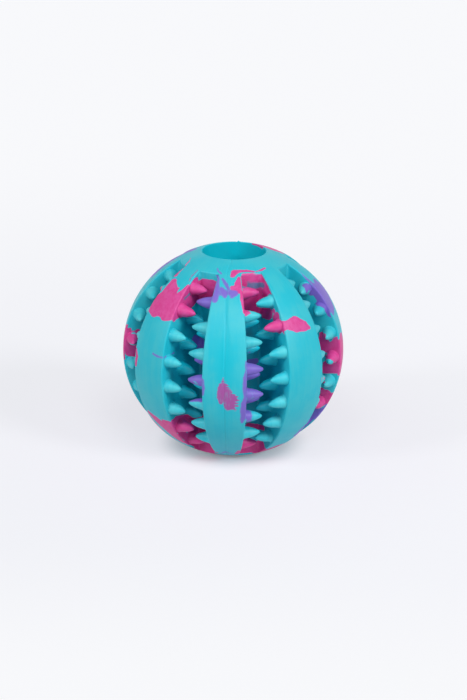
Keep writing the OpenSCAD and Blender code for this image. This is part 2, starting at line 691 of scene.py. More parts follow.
@dataclass(frozen=True)
class Rib:
    """A slice of the ball outside the core, which fades out flush into both collars.

    Attributes:
        sizes: The ball's sizes.
        number: The rib's number, from the front, anticlockwise from above.
        edge_r: Radius of its long edges.
        root_r: Radius of the fillet along its foot.
        rows: Number of sections from end to end.
        tuck: How far its hidden face lies inside the core.
        across: Shares of the crown's half width at which a section has points.
        down: Number of faces down a side.
        ease: How much closer together the sections lie at the ends.
    """

    sizes: BallSizes
    number: int
    edge_r: float = 0.4 * MM
    root_r: float = 0.9 * MM
    rows: int = 240
    tuck: float = 0.1 * MM
    across: tuple[float, ...] = (0.02, 0.045, *[i / 24 for i in range(2, 25)])
    down: int = 30
    ease: float = 0.92

    @property
    def parted(self) -> bool:
        """Whether the parting line runs along this rib."""
        return (self.number - 1) % (len(self.sizes.rib_names) // 2) == 0

    def latitudes(self) -> list[float]:
        """Gives the sections' latitudes in radians, closer together at the ends."""
        end = self.sizes.corner[1]
        turn = math.pi / 2 * self.ease
        steps = [2 * i / (self.rows - 1) - 1 for i in range(self.rows)]
        return [end * math.sin(step * turn) / math.sin(turn) for step in steps]

    def half_section(self, latitude: float, middle: float) -> list[tuple[float, float, float]]:
        """Draws a section from the crown's middle to the middle of the hidden face.

        Args:
            latitude: Latitude of the section, in radians.
            middle: Azimuth of the crown's middle line, off the rib's middle.

        Returns:
            Azimuths off the rib's middle, distances from the axis and heights over the centre.
        """
        s, half = self.sizes, self.sizes.rib_half
        distance, height = s.crown.point(latitude)
        edge = min(self.edge_r, 0.6 * max(distance - s.floor(height), 0.0))
        last = half - edge / distance
        line = [(middle + (last - middle) * share, 0.0) for share in (0.0, *self.across)]
        turns = [math.radians(turn) for turn in (72, 54, 36, 18, 0)]
        line += [(half - edge * (1 - math.cos(t)) / distance, edge * (1 - math.sin(t))) for t in turns]
        section = [(azimuth, *s.crown.point(latitude, depth)) for azimuth, depth in line]
        _, top, level = section[-1]
        floor = s.floor(level)
        root = min(self.root_r, 0.45 * max(top - floor, 0.0))
        section += [(half, top + (floor + root - top) * i / self.down, level) for i in range(1, self.down + 1)]
        for turn in (18, 36, 54, 72, 90):
            t = math.radians(turn)
            section.append((half + root * (1 - math.cos(t)) / floor, floor + root * (1 - math.sin(t)), level))
        spread = section[-1][0]
        section += [(spread * share, floor - self.tuck, level) for share in (1.0, 0.66, 0.33)]
        return section

    def ring(self, latitude: float) -> Ring:
        """Builds the section at one latitude, both halves, with the parting line."""
        s = self.sizes
        distance, height = s.crown.point(latitude)
        front = self.number == 1
        offset = s.parting.sideways(distance, height) * (1 if front else -1) / distance if self.parted else 0.0
        right = self.half_section(latitude, offset)
        left = [(-azimuth, *rest) for azimuth, *rest in self.half_section(latitude, -offset)]
        loop = right + left[:0:-1]
        middle = s.rib_middle(self.number)
        last_crown = len(self.across)
        ring = []
        for i, (azimuth, reach, z) in enumerate(loop):
            on_crown = min(i, len(loop) - i) <= last_crown
            if self.parted and on_crown:
                sink = s.parting.sink((azimuth - offset) * reach)
                reach -= sink * math.cos(latitude)
                z -= sink * math.sin(latitude)
            ring.append(s.crown.place(middle + azimuth, reach, z))
        return ring

    def build(self) -> bpy.types.Object:
        """Builds the rib and returns it."""
        rings = [self.ring(latitude) for latitude in self.latitudes()]
        return skin(f"outer_curve_of_rib_{self.number}", rings, capped=True)


# ------------------------------------------------------------------------------------------- teeth


@dataclass(frozen=True)
class Tooth:
    """One soft pointed tooth: bowed sides, a rounded tip and a flared root.

    Attributes:
        length: Length from the rib's side to the tip.
        root_r: Radius at the root.
        tip_r: Radius of the rounded tip.
        bow_r: Radius of the bow along its side.
        flare: How much wider the root is where it runs into the rib.
        flare_length: How far up the tooth the flare reaches.
        sunk: How far the root starts inside the rib.
        sides: Number of faces round it.
        levels: Number of rings along it.
    """

    length: float = 5.3 * MM
    root_r: float = 1.85 * MM
    tip_r: float = 0.5 * MM
    bow_r: float = 9 * MM
    flare: float = 0.4 * MM
    flare_length: float = 1.1 * MM
    sunk: float = 0.35 * MM
    sides: int = 14
    levels: int = 8

    @property
    def bow(self) -> tuple[float, float]:
        """Centre of the bow's arc: distance from the tooth's axis, and height over the rib's side."""
        tip_z = self.length - self.tip_r
        side = math.hypot(self.root_r, tip_z)
        along = (self.bow_r**2 - (self.bow_r - self.tip_r) ** 2 + side**2) / (2 * side)
        inward = math.sqrt(self.bow_r**2 - along**2)
        return (
            self.root_r + (-self.root_r * along - tip_z * inward) / side,
            (tip_z * along - self.root_r * inward) / side,
        )

    @property
    def join(self) -> float:
        """Height over the rib's side at which the bow runs into the tip."""
        centre_z = self.bow[1]
        return centre_z + self.bow_r * (self.length - self.tip_r - centre_z) / (self.bow_r - self.tip_r)


@dataclass(frozen=True)
class ToothRow:
    """One row of teeth, square to a rib's side and even round the ball's centre.

    Attributes:
        sizes: The ball's sizes.
        rib: Number of the rib.
        flank: Side of the rib.
        row: Outer or inner row.
        tooth: The tooth that is repeated.
        pitch: Angle between teeth, in radians.
        shift: Angle by which the rows are turned up from even about the middle, in radians.
        depth: Depth of the outer row's middle under the crown.
        step: Distance from the outer row in to the inner one.
        gap: Least gap between a tooth's root and the floor.
        lean: Most that a tooth leans out of true, in radians.
        growth: Most that a tooth's size differs.
    """

    sizes: BallSizes
    rib: int
    flank: Flank
    row: Row
    tooth: Tooth = field(default_factory=Tooth)
    pitch: float = math.radians(15)
    shift: float = math.radians(0.8)
    depth: float = 2.75 * MM
    step: float = 6.5 * MM
    gap: float = 0.9 * MM
    lean: float = math.radians(1.6)
    growth: float = 0.025

    @property
    def node(self) -> str:
        """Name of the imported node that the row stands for."""
        return f"teeth_{self.rib}_{self.flank.name.lower()}_{self.row.value}"

    @property
    def inset(self) -> float:
        """How far the row lies in from the outer row."""
        return self.step if self.row is Row.INNER else 0.0

    @property
    def row_r(self) -> float:
        """Radius of the arc that the row's teeth stand on."""
        return self.sizes.crown.radius - self.depth

    def angles(self) -> list[float]:
        """Gives the teeth's angles above the middle in radians, from the lowest."""
        between = (self.flank is Flank.RIGHT) == (self.row is Row.OUTER)
        start = self.shift + (self.pitch / 2 if between else 0.0)
        most = round(math.pi / 2 / self.pitch)
        return [angle for angle in (start + i * self.pitch for i in range(-most, most)) if self.fits(angle)]

    def fits(self, angle: float) -> bool:
        """Says whether a tooth at an angle stands clear of the floor and of the ball's ends."""
        away = self.sizes.crown.offset + self.row_r * math.cos(angle) - self.inset
        clear = away - self.tooth.root_r > self.sizes.core_r + self.gap
        return clear and abs(angle) < math.radians(90) - self.pitch

    def build(self, tree: ToothTree, material: bpy.types.Material) -> bpy.types.Object:
        """Grows the row from the node tree.

        Args:
            tree: The tree that makes a row.
            material: The finish that the tree sets.

        Returns:
            The row as a plain mesh, with no modifier left.
        """
        angles = self.angles()
        azimuth = self.sizes.rib_middle(self.rib) + self.flank.value * self.sizes.rib_half
        bow_out, bow_up = self.tooth.bow
        values = {
            "Teeth": len(angles),
            "First angle": angles[0],
            "Pitch": self.pitch,
            "Row radius": self.row_r,
            "Off axis": self.sizes.crown.offset - self.inset,
            "Centre height": self.sizes.crown.centre_z,
            "Side azimuth": azimuth,
            "Side turn": -self.flank.value * math.pi / 2,
            "Tooth length": self.tooth.length,
            "Tip radius": self.tooth.tip_r,
            "Bow radius": self.tooth.bow_r,
            "Bow centre out": bow_out,
            "Bow centre up": bow_up,
            "Tip start": self.tooth.join,
            "Flare": self.tooth.flare,
            "Flare length": self.tooth.flare_length,
            "Sunk": self.tooth.sunk,
            "Lean": self.lean,
            "Growth": self.growth,
            "Seed": self.rib * 10 + self.flank.value * 3 + len(angles),
            "Rubber": material,
        }
        name = f"{POINTED}{self.node}"
        carrier = bpy.data.objects.new(name, bpy.data.meshes.new(name))
        bpy.context.scene.collection.objects.link(carrier)
        modifier = carrier.modifiers.new("Tooth row", "NODES")
        modifier.node_group = tree.group
        for label, value in values.items():
            modifier[tree.identifiers[label]] = value
        graph = bpy.context.evaluated_depsgraph_get()
        mesh = bpy.data.meshes.new_from_object(
            carrier.evaluated_get(graph), preserve_all_data_layers=True, depsgraph=graph
        )
        carrier.modifiers.remove(modifier)
        carrier.data = mesh
        mesh.name = name
        form = bmesh.new()
        form.from_mesh(mesh)
        bmesh.ops.recalc_face_normals(form, faces=form.faces)
        finish_shading(form, sharp_degrees=60.0)
        form.to_mesh(mesh)
        form.free()
        return carrier


class ToothTree:
    """The node tree that makes one row of teeth from named sizes."""

    NUMBERS = (
        "First angle",
        "Pitch",
        "Row radius",
        "Off axis",
        "Centre height",
        "Side azimuth",
        "Side turn",
        "Tooth length",
        "Tip radius",
        "Bow radius",
        "Bow centre out",
        "Bow centre up",
        "Tip start",
        "Flare",
        "Flare length",
        "Sunk",
        "Lean",
        "Growth",
    )

    def __init__(self, tooth: Tooth) -> None:
        """Builds the tree.

        Args:
            tooth: The tooth whose counts of sides and levels the tree uses.
        """
        self.group = bpy.data.node_groups.new("Tooth row", "GeometryNodeTree")
        self.identifiers: dict[str, str] = {}
        self.wiring = Wiring(self.group)
        face = self.group.interface
        face.new_socket("Geometry", in_out="OUTPUT", socket_type="NodeSocketGeometry")
        kinds = {name: "NodeSocketFloat" for name in self.NUMBERS}
        kinds |= {"Teeth": "NodeSocketInt", "Seed": "NodeSocketInt", "Rubber": "NodeSocketMaterial"}
        for name, kind in kinds.items():
            self.identifiers[name] = face.new_socket(name, in_out="INPUT", socket_type=kind).identifier
        given = self.wiring.node("NodeGroupInput")
        self.given = {name: given.outputs[name] for name in kinds}
        self.finish(self.spread(self.shape(tooth)))

    def shape(self, tooth: Tooth) -> Socket:
        """Draws one tooth along Z as a line with a radius at each level.

        Args:
            tooth: The tooth whose counts of sides and levels are used.

        Returns:
            The socket of the tooth's mesh.
        """
        w, g = self.wiring, self.given
        line = w.node("GeometryNodeCurvePrimitiveLine")
        spaced = w.node("GeometryNodeResampleCurve")
        w.feed(spaced.inputs["Curve"], line.outputs[0])
        w.feed(spaced.inputs["Count"], tooth.levels)
        along = w.node("GeometryNodeSplineParameter").outputs["Factor"]
        eased = w.math("MULTIPLY_ADD", w.math("COSINE", w.math("MULTIPLY", along, math.pi)), -0.5, 0.5)
        whole = w.math("ADD", g["Tooth length"], g["Sunk"])
        level = w.math("SUBTRACT", w.math("MULTIPLY", whole, eased), g["Sunk"])
        placed = w.node("GeometryNodeSetPosition")
        w.feed(placed.inputs["Geometry"], spaced.outputs[0])
        w.feed(placed.inputs["Position"], w.combine(0.0, 0.0, level))
        z = w.split(w.node("GeometryNodeInputPosition").outputs[0])[2]
        bow = w.math("ADD", self.half_chord(g["Bow radius"], g["Bow centre up"], z), g["Bow centre out"])
        tip = self.half_chord(g["Tip radius"], w.math("SUBTRACT", g["Tooth length"], g["Tip radius"]), z)
        at_tip = w.math("GREATER_THAN", z, g["Tip start"])
        side = w.math("ADD", w.math("MULTIPLY", tip, at_tip), w.math("MULTIPLY", bow, w.math("SUBTRACT", 1.0, at_tip)))
        fade = w.math("SUBTRACT", 1.0, w.math("DIVIDE", w.math("MAXIMUM", z, 0.0), g["Flare length"]), clamp=True)
        flare = w.math("MULTIPLY", g["Flare"], w.math("POWER", fade, 2.0))
        radius = w.node("GeometryNodeSetCurveRadius")
        w.feed(radius.inputs["Curve"], placed.outputs[0])
        w.feed(radius.inputs["Radius"], w.math("ADD", side, flare))
        circle = w.node("GeometryNodeCurvePrimitiveCircle")
        w.feed(circle.inputs["Resolution"], tooth.sides)
        w.feed(circle.inputs["Radius"], 1.0)
        swept = w.node("GeometryNodeCurveToMesh")
        w.feed(swept.inputs["Curve"], radius.outputs[0])
        w.feed(swept.inputs["Profile Curve"], circle.outputs["Curve"])
        w.feed(swept.inputs["Scale"], w.node("GeometryNodeInputRadius").outputs[0])
        w.feed(swept.inputs["Fill Caps"], True)
        merged = w.node("GeometryNodeMergeByDistance")
        w.feed(merged.inputs["Geometry"], swept.outputs[0])
        w.feed(merged.inputs["Distance"], 0.01 * MM)
        return merged.outputs[0]

    def half_chord(self, radius: object, centre: object, z: object) -> Socket:
        """Gives half of a circle's chord at a height.

        Args:
            radius: The circle's radius.
            centre: Height of its centre.
            z: The height.

        Returns:
            The socket of the half chord.
        """
        w = self.wiring
        off = w.math("SUBTRACT", z, centre)
        inside = w.math("SUBTRACT", w.math("MULTIPLY", radius, radius), w.math("MULTIPLY", off, off))
        return w.math("SQRT", w.math("MAXIMUM", inside, 0.0))

    def spread(self, tooth: Socket) -> Socket:
        """Sets copies of the tooth along the row, each a little out of true.

        Args:
            tooth: Socket of the tooth's mesh.

        Returns:
            The socket of the instances.
        """
        w, g = self.wiring, self.given
        points = w.node("GeometryNodePoints")
        w.feed(points.inputs["Count"], g["Teeth"])
        index = w.node("GeometryNodeInputIndex").outputs[0]
        angle = w.math("ADD", g["First angle"], w.math("MULTIPLY", index, g["Pitch"]))
        away = w.math("ADD", g["Off axis"], w.math("MULTIPLY", g["Row radius"], w.math("COSINE", angle)))
        up = w.math("ADD", g["Centre height"], w.math("MULTIPLY", g["Row radius"], w.math("SINE", angle)))
        azimuth = g["Side azimuth"]
        spot = w.combine(
            w.math("MULTIPLY", away, w.math("COSINE", azimuth)),
            w.math("MULTIPLY", away, w.math("SINE", azimuth)),
            up,
        )
        w.feed(points.inputs["Position"], spot)
        lean_up, lean_in, growth = (self.random(shift, index) for shift in (0, 1, 2))
        turn = w.combine(
            w.math("ADD", g["Side turn"], w.math("MULTIPLY", lean_up, g["Lean"])),
            0.0,
            w.math("ADD", azimuth, w.math("MULTIPLY", lean_in, g["Lean"])),
        )
        rotation = w.node("FunctionNodeEulerToRotation")
        w.feed(rotation.inputs[0], turn)
        scale = w.math("ADD", 1.0, w.math("MULTIPLY", growth, g["Growth"]))
        copies = w.node("GeometryNodeInstanceOnPoints")
        w.feed(copies.inputs["Points"], points.outputs[0])
        w.feed(copies.inputs["Instance"], tooth)
        w.feed(copies.inputs["Rotation"], rotation.outputs[0])
        w.feed(copies.inputs["Scale"], w.combine(scale, scale, scale))
        return copies.outputs[0]

    def random(self, shift: int, index: object) -> Socket:
        """Gives each tooth a random number from -1 to 1.

        Args:
            shift: Added to the seed, so that each use differs.
            index: The tooth's index.

        Returns:
            The number's socket.
        """
        w = self.wiring
        made = w.node("FunctionNodeRandomValue", data_type="FLOAT")
        w.feed(made.inputs[2], -1.0)
        w.feed(made.inputs[3], 1.0)
        w.feed(made.inputs["ID"], index)
        w.feed(made.inputs["Seed"], w.math("ADD", self.given["Seed"], float(shift * 100)))
        return made.outputs[1]

    def finish(self, copies: Socket) -> None:
        """Makes the copies real and sets their finish.

        Args:
            copies: Socket of the instances.
        """
        w = self.wiring
        real = w.node("GeometryNodeRealizeInstances")
        w.feed(real.inputs["Geometry"], copies)
        dressed = w.node("GeometryNodeSetMaterial")
        w.feed(dressed.inputs["Geometry"], real.outputs[0])
        w.feed(dressed.inputs["Material"], self.given["Rubber"])
        out = w.node("NodeGroupOutput")
        w.feed(out.inputs[0], dressed.outputs[0])


# ---------------------------------------------------------------------------------- marbled rubber


@dataclass(frozen=True)
class Stroke:
    """A streak of one rubber, drawn as round blobs that run into each other.

    Attributes:
        rubber: The streak's colour.
        layer: The surfaces that it shows on.
        path: Its points: azimuth from the front and latitude in degrees, depth under the crown
            and radius in millimetres.
    """

    rubber: Rubber
    layer: Layer
    path: Path


def streaks(rubber: Rubber, layer: Layer, paths: Iterable[Path]) -> list[Stroke]:
    """Gives the strokes of one rubber on one layer, each along a path of its own."""
    return [Stroke(rubber, layer, path) for path in paths]


# Placed along the patches that the front shows, from the mouth down
FRONT_STROKES: tuple[Stroke, ...] = (
    *streaks(Rubber.PINK, Layer.SKIN, (
        ((-67.1, 67.7, 0, 0.13), (-60.6, 65.3, 0, 0.2), (-56.3, 61, 0, 0.35), (-55.3, 57.3, 0, 0.45),
         (-54.7, 54.9, 0, 0.8)),
        ((-50.6, 50.6, 0, 1.3), (-47.3, 45.8, 0, 3.2)),
        ((-35.1, 43.9, 0, 2), (-38.5, 39, 0, 4)),
        ((-47.9, 37.5, 0, 4.2), (-37.2, 34.6, 0, 2.8)),
        ((-53.5, 34.3, 0, 2.2), (-49.4, 33.6, 0, 2.6)),
        ((-33.9, 51.4, 0, 0.45), (-34.1, 47.2, 0, 1.3), (-35.4, 42, 0, 2.6)),
        ((-40.8, 48.2, 0, 0.5),),
        ((-40.2, 31.4, 0, 1.3), (-36.4, 32, 0, 1.3)),
        ((2.9, 61.2, 0, 0.75), (5, 64, 0, 1), (11, 64.8, 0, 0.62), (18.8, 64.8, 0, 0.52), (26.2, 63.7, 0, 0.32)),
        ((29, 63.6, 0, 0.22), (35, 64.1, 0, 0.4), (40.9, 65, 0, 0.45)),
        ((9.1, 59.8, 0, 0.5), (7.8, 55.7, 0, 1), (7.9, 51.2, 0, 1)),
        ((2.8, 53.4, 0, 0.6), (6.9, 53.4, 0, 1.1)),
        ((2.4, 52.1, 0, 0.45), (5.2, 51.8, 0, 0.6)),
        ((10, 50.6, 0, 0.6), (10.1, 45.8, 0, 0.45), (10.7, 41.2, 0, 0.38), (11, 38.5, 0, 0.3)),
        ((33.7, 29.6, 0, 1.6), (35.7, 29.7, 0, 1.35), (42.2, 29.2, 0, 2.5), (47.1, 27.4, 0, 1.75),
         (50.9, 25.6, 0, 0.6)),
        ((13.5, 62.1, 0, 0.45), (22.9, 62, 0, 0.45), (31.7, 61.3, 0, 0.4)),
        ((82.5, 10.1, 0, 1.5), (83.7, 6.3, 0, 4), (84.8, -2.9, 0, 5), (78.8, -5.3, 0, 2.5)),
        ((56.2, -3.2, 0, 0.5), (56.8, -5.7, 0, 0.5)),
        ((55.7, -8.9, 0, 0.3),),
        ((79.7, -24, 0, 2.2), (75.1, -25.7, 0, 2)),
        ((-76, 12.8, 0, 1.5), (-77.3, 7.2, 0, 5), (-73.3, 1.6, 0, 5)),
        ((-55.4, 9.5, 0, 0.4), (-54.1, 6, 0, 0.7), (-54.7, 0.8, 0, 0.5)),
        ((-51.9, -28.2, 0, 1.2), (-46.5, -31.8, 0, 2.2), (-41.5, -35.2, 0, 2.8), (-38.9, -40.3, 0, 2.6),
         (-37.6, -47.6, 0, 1.6)),
        ((-56.7, -32.8, 0, 0.9), (-55, -38.7, 0, 1), (-52.7, -42.8, 0, 0.9)),
        ((-39.5, -29.6, 0, 0.9), (-35.6, -29.8, 0, 1.2), (-33.7, -33.7, 0, 1.2), (-32.7, -37, 0, 0.8)),
        ((-33.2, -48.3, 0, 0.9), (-31.6, -53.2, 0, 0.8)),
        ((-34.2, -60.6, 0, 1.8), (-22.7, -62.7, 0, 2), (-14.5, -64.5, 0, 1.1)),
        ((-10.4, -56.5, 0, 0.8),),
        ((21.9, -59.6, 0, 0.9), (32.3, -61.8, 0, 0.9), (35.8, -57.1, 0, 0.7)),
        ((12.6, -54.4, 0, 1.4), (24.8, -57.5, 0, 1.6), (31.5, -54.2, 0, 1.1)),
        ((9.4, -50.9, 0, 0.6), (8.2, -57.5, 0, 0.6)),
        ((37.2, -57.1, -0.1, 2), (43.4, -54.5, -0.1, 2), (51.3, -53.8, 0, 1)),
        ((144.8, 75.6, 0, 1), (128, 73.5, 0, 2), (121.8, 68.7, 0.1, 3.2), (115.7, 65.6, 0, 2)),
    )),
    *streaks(Rubber.SMEAR, Layer.SKIN, (
        ((-36.4, 62.2, 0, 0.14), (-36.9, 57.7, 0, 0.14), (-36, 53.8, 0, 0.12)),
        ((-0.6, 4.4, 0, 0.22), (-0.7, 1.9, 0, 0.5)),
        ((-1.4, 0.6, 0, 0.8), (-1.9, -2.5, 0, 0.9), (-2, -5.9, 0, 0.9), (-1.6, -8.9, 0, 0.75)),
        ((-0.3, 1.2, 0, 0.8), (0.4, -3, 0, 1.3), (0.7, -6.9, 0, 1.3)),
        ((1.1, 0.7, 0, 0.45), (2, -1.1, 0, 0.6), (1.2, -4, 0, 1.1)),
        ((1.1, -8.1, 0, 1), (1.6, -11.7, 0, 1)),
        ((2.7, -2.6, 0, 0.5), (2.8, -6.3, 0, 1.3), (3.1, -10.7, 0, 1.25)),
        ((4.2, -5, 0, 0.5), (4.8, -8, 0, 1), (4.5, -11.6, 0, 0.85), (5.5, -13, 0, 0.25)),
        ((5.7, -6.4, 0, 0.5), (6.4, -8.2, 0, 0.45)),
        ((5.7, -10.1, 0, 0.5), (6.8, -11.6, 0, 0.25)),
    )),
    *streaks(Rubber.PINK, Layer.SIDES, (
        ((-64.2, 44, 1.8, 1.3),),
        ((-50.3, 53, 0, 0.35), (-52.6, 47.8, 0, 0.45), (-55, 42.8, 0, 0.4)),
        ((12.3, 49.7, 2.2, 0.6), (15.8, 51.4, 8.6, 0.5)),
        ((-33.5, 52, 0.8, 1.6), (-33.7, 43, 2.2, 3.2), (-33.1, 35.2, 1.6, 1.6)),
        ((-33.8, 33.5, 1, 1.6), (-33.8, 31.8, 1, 0.8)),
        ((-32.3, 53.8, 0.9, 1.3), (-33.8, 57.6, 2, 1.3)),
        ((-33.7, 49.9, 5.4, 1.9), (-33.7, 45.9, 5.1, 1.7)),
        ((-33.8, 53.3, 2.8, 2.3), (-18.8, 52.3, 2.3, 1.2)),
        ((-33.8, 38.3, 2.8, 2.3), (-22.1, 37.7, 2.3, 1.2)),
        ((33.8, 61, 0.4, 0.6), (33.8, 55, 1.2, 0.7), (33.3, 48.5, 1.3, 0.6)),
        ((33.4, 60.3, 1.3, 1), (33.8, 55.4, 2.4, 1.2), (33.7, 50.2, 2.5, 1.2)),
        ((33.7, 46.9, 9.5, 2.2), (33.7, 42.9, 6.2, 2.6)),
        ((12.3, 61.3, 1.1, 1.5), (11.8, 49.9, 1.8, 1.5), (12, 40.1, 1.1, 1)),
        ((33.7, 36.2, 2.1, 1.3), (33.8, 35.1, 3.2, 2)),
        ((11.7, 38.5, 0.7, 0.8), (15.5, 39.3, 1.3, 0.35)),
        ((33.8, 27.2, 0.3, 1),),
        ((33.7, 29.7, 0.5, 1.9),),
        ((11.2, 53.3, 2.8, 2.3), (26.2, 52.3, 2.3, 1.2)),
        ((33.8, 30.8, 2.8, 2.3), (23, 30.3, 2.3, 1.2)),
        ((78.8, 0.8, 2.7, 2.3), (72.4, 0.8, 2.5, 1.5)),
        ((61.7, -5.9, 1.5, 0.5), (71.2, -13, 3.3, 0.5)),
        ((-78.8, 8.3, 2.8, 2.3), (-69.2, 8.2, 2.3, 1.5)),
        ((-33.7, -38.7, 0.4, 0.8),),
        ((-34.5, -32.5, 0, 2.8), (-34.4, -43, 0, 2.8), (-36.3, -55.7, 0, 2.4), (-34.2, -60.8, 0.1, 2)),
        ((-23.4, -61, 1.5, 2), (-8.9, -55.4, 0, 1.6)),
        ((-33.8, -36.7, 2.7, 2.4), (-22.1, -36.1, 2.3, 1.3)),
        ((-33.8, -51.7, 2.8, 2.4), (-19, -50.7, 2.3, 1.3)),
        ((12.2, -49.5, 1.3, 1.6), (9.3, -53.5, 0, 1.2)),
        ((11.2, -51.7, 2.8, 2.4), (26, -50.7, 2.3, 1.3)),
    )),
    *streaks(Rubber.PURPLE, Layer.SKIN, (
        ((-10.6, 60, 0, 0.3), (-9.3, 54.6, 0, 0.65), (-8.8, 49.5, 0, 1), (-8.8, 45.3, 0, 1)),
        ((-15.5, 66.3, 0, 0.28), (-13.3, 64.3, 0, 0.24), (-8.7, 62.4, 0, 0.28)),
        ((-6.2, 58.8, 0, 0.4), (-2.4, 55.6, 0, 0.6), (0.2, 52.1, 0, 0.5)),
        ((-5.4, 52.2, 0, 0.75), (-2.6, 49.8, 0, 1.2), (-2, 48, 0, 0.75)),
        ((-7.3, 50.5, 0, 0.6), (-5.5, 49.1, 0, 0.5)),
        ((1.9, 50, 0, 1.05), (4.9, 49.7, 0, 1.15), (3.1, 47.9, 0, 0.75)),
        ((80.3, 55.1, 0, 0.16), (79, 49.6, 0, 0.35), (80, 45.4, 0, 0.7)),
        ((89.6, 41.5, 0, 2.4), (90.7, 36.2, 0, 4), (87.5, 30.3, 0, 3), (84, 27.1, 0, 1.6)),
        ((80.3, 43.8, 0, 1), (78.9, 37.4, 0, 1.1), (78.5, 31.2, 0, 1), (77.6, 26.7, 0, 0.7)),
        ((87, 42.5, 0, 1.6), (86.1, 38.6, 0, 2.2), (84.5, 33.1, 0, 2.2), (83.5, 28.4, 0, 1.8), (81.7, 26, 0, 1.2)),
        ((82.1, 42.6, 0, 1.2), (81.8, 39.6, 0, 1.9), (81.2, 35.8, 0, 2.2), (80.7, 32.1, 0, 2), (80.7, 28.7, 0, 1.6)),
        ((83.3, -33.4, -0.1, 3.4), (65.1, -34.1, -0.1, 4), (59.3, -38.8, -0.1, 3.6), (54.4, -42, 0, 1.4)),
        ((71.2, -26.1, 0, 0.5), (70.2, -31.2, 0, 0.7), (66.6, -32.9, 0, 0.6), (61.3, -34.9, 0, 0.55),
         (58, -37.1, 0, 0.4)),
        ((-104.2, 67.8, 0, 2), (-105.8, 63.6, 0, 3), (-106.3, 59.4, 0.1, 4), (-103, 53.2, 0.1, 5),
         (-97.5, 47.3, 0, 4), (-91.6, 45.3, 0, 2)),
        ((-10.7, 2.8, 0, 0.4), (-10.3, -1.5, 0, 0.55), (-10.7, -5.5, 0, 0.4)),
        ((10.9, 13.5, 0, 0.25), (10.7, 11, 0, 0.42), (10.8, 8.4, 0, 0.28), (10.2, 4.7, 0, 0.6), (10.1, -0.7, 0, 0.68),
         (10.4, -5.5, 0, 0.45)),
        ((10.7, 6.8, 0, 0.35), (10.8, -0.7, 0, 0.5), (10.9, -7.5, 0, 0.55), (10.8, -13.6, 0, 0.7),
         (10.7, -19.5, 0, 0.5)),
        ((10.3, -6.3, 0, 0.5), (9.7, -9.8, 0, 0.85), (9.7, -14.8, 0, 0.98), (9.6, -19.4, 0, 0.75),
         (9.3, -21.9, 0, 0.4)),
        ((-40.9, 11.2, 0, 0.3), (-37.8, 10.6, 0, 0.42), (-34.1, 10.6, 0, 0.3)),
        ((-6.1, -57.5, 0, 0.35), (-1.7, -52.9, 0, 0.45), (4.1, -56.8, 0, 0.35)),
    )),
    *streaks(Rubber.PINK, Layer.FLOOR, (
        ((-30.2, 54.6, 1.2, 2), (-26.6, 58.3, 4, 2.2), (-17.4, 58.7, 3.7, 2)),
        ((-33.8, 49.1, 4.4, 2.6), (-26.6, 55.8, 5.9, 3), (-17.3, 56.3, 5.6, 2.6)),
        ((-33.7, 45.5, 5, 1.5), (-33.7, 48.4, 5.5, 1.8)),
        ((17.1, 60.5, 2, 2.9), (30.2, 60.2, 2.3, 2.6), (33.6, 58.6, 2.5, 2.2)),
        ((16.3, 52.8, 1.1, 3.4), (33.8, 55.5, 3.9, 2.8)),
        ((19.5, 53.1, 7.7, 3), (25.2, 44.6, 1.6, 3.4), (31.3, 42.7, 2.3, 2)),
        ((33.8, 41.9, 6.6, 2.4), (33.7, 38.3, 5, 2)),
    )),
    *streaks(Rubber.TURQUOISE, Layer.DEEP, (
        ((-34.1, 53.5, 0.1, 0.5),),
        ((30.3, 59.4, 3, 0.15), (33.7, 57.2, 2.1, 0.15)),
        ((77.4, -1.7, 1.5, 0.45),),
        ((-78.8, 13.2, 2.2, 0.45),),
        ((-77, 11.4, 2.2, 0.4), (-77.6, 11.6, 3.5, 0.4)),
    )),
    *streaks(Rubber.SMEAR, Layer.DEEP, (
        ((-33.8, 44.7, 1.7, 0.35), (-33.7, 49.2, 2.5, 0.4)),
        ((11, 55, 0.1, 1), (20.3, 59.4, 3, 1.05), (29.1, 59, 3.4, 1.05), (33.7, 57.2, 2.6, 0.8)),
    )),
    *streaks(Rubber.TURQUOISE, Layer.FLOOR, (
        ((-33.8, 47.1, 9.1, 1.2),),
    )),
    *streaks(Rubber.PURPLE, Layer.DEEP, (
        ((-13.1, 61.8, 0.7, 0.6), (-11.2, 57.3, 0.3, 1), (-9.7, 52.4, 0, 0.8), (-8.9, 47, 0, 0.7)),
        ((79, 43.9, 0.1, 1.2), (78.8, 37.3, 0.3, 1.3), (78.8, 31.3, 0.3, 1.2), (78.8, 26.1, 0.4, 1.1)),
        ((79.3, -32.8, 0, 1.2), (78.7, -35.8, 0.7, 1.8), (78.1, -42.7, 0.9, 1.8), (78.9, -50.1, 0.2, 1)),
        ((-33.7, 24.5, 13.9, 1.4), (-33.1, 21.8, 16.4, 2), (-30.1, 18.2, 17.2, 1)),
        ((28.1, 4.5, 18, 1), (21.4, 4.7, 17.9, 0.8)),
        ((14.4, 17.5, 7.7, 0.6),),
    )),
    *streaks(Rubber.PURPLE, Layer.SIDES, (
        ((-10.2, 43.9, 0, 0.9),),
        ((-10.5, 45.8, 2.7, 2.5), (-24.3, 45, 2.3, 1.3)),
        ((80.2, 55, 0, 0.16), (79.4, 49.5, 0, 0.35), (80.1, 45.2, 0, 0.7)),
        ((78.8, 41.5, 2.3, 0.8),),
        ((76.3, 32.1, 1.2, 0.7),),
        ((78.9, 42.9, 0.2, 1.4), (80.9, 36.4, 0, 2.4), (81.1, 30.3, 0, 2), (79.2, 27, 0, 1.2)),
        ((74.7, 46.7, 1.2, 1.2), (72.3, 44.4, 1.5, 1)),
        ((78.9, 43.7, 0.2, 1.5), (78.8, 39.1, 0.4, 1.7), (78.8, 34.4, 0.3, 1.5), (78.8, 29.3, 0.2, 1.4),
         (78.9, 25.6, 0.2, 1)),
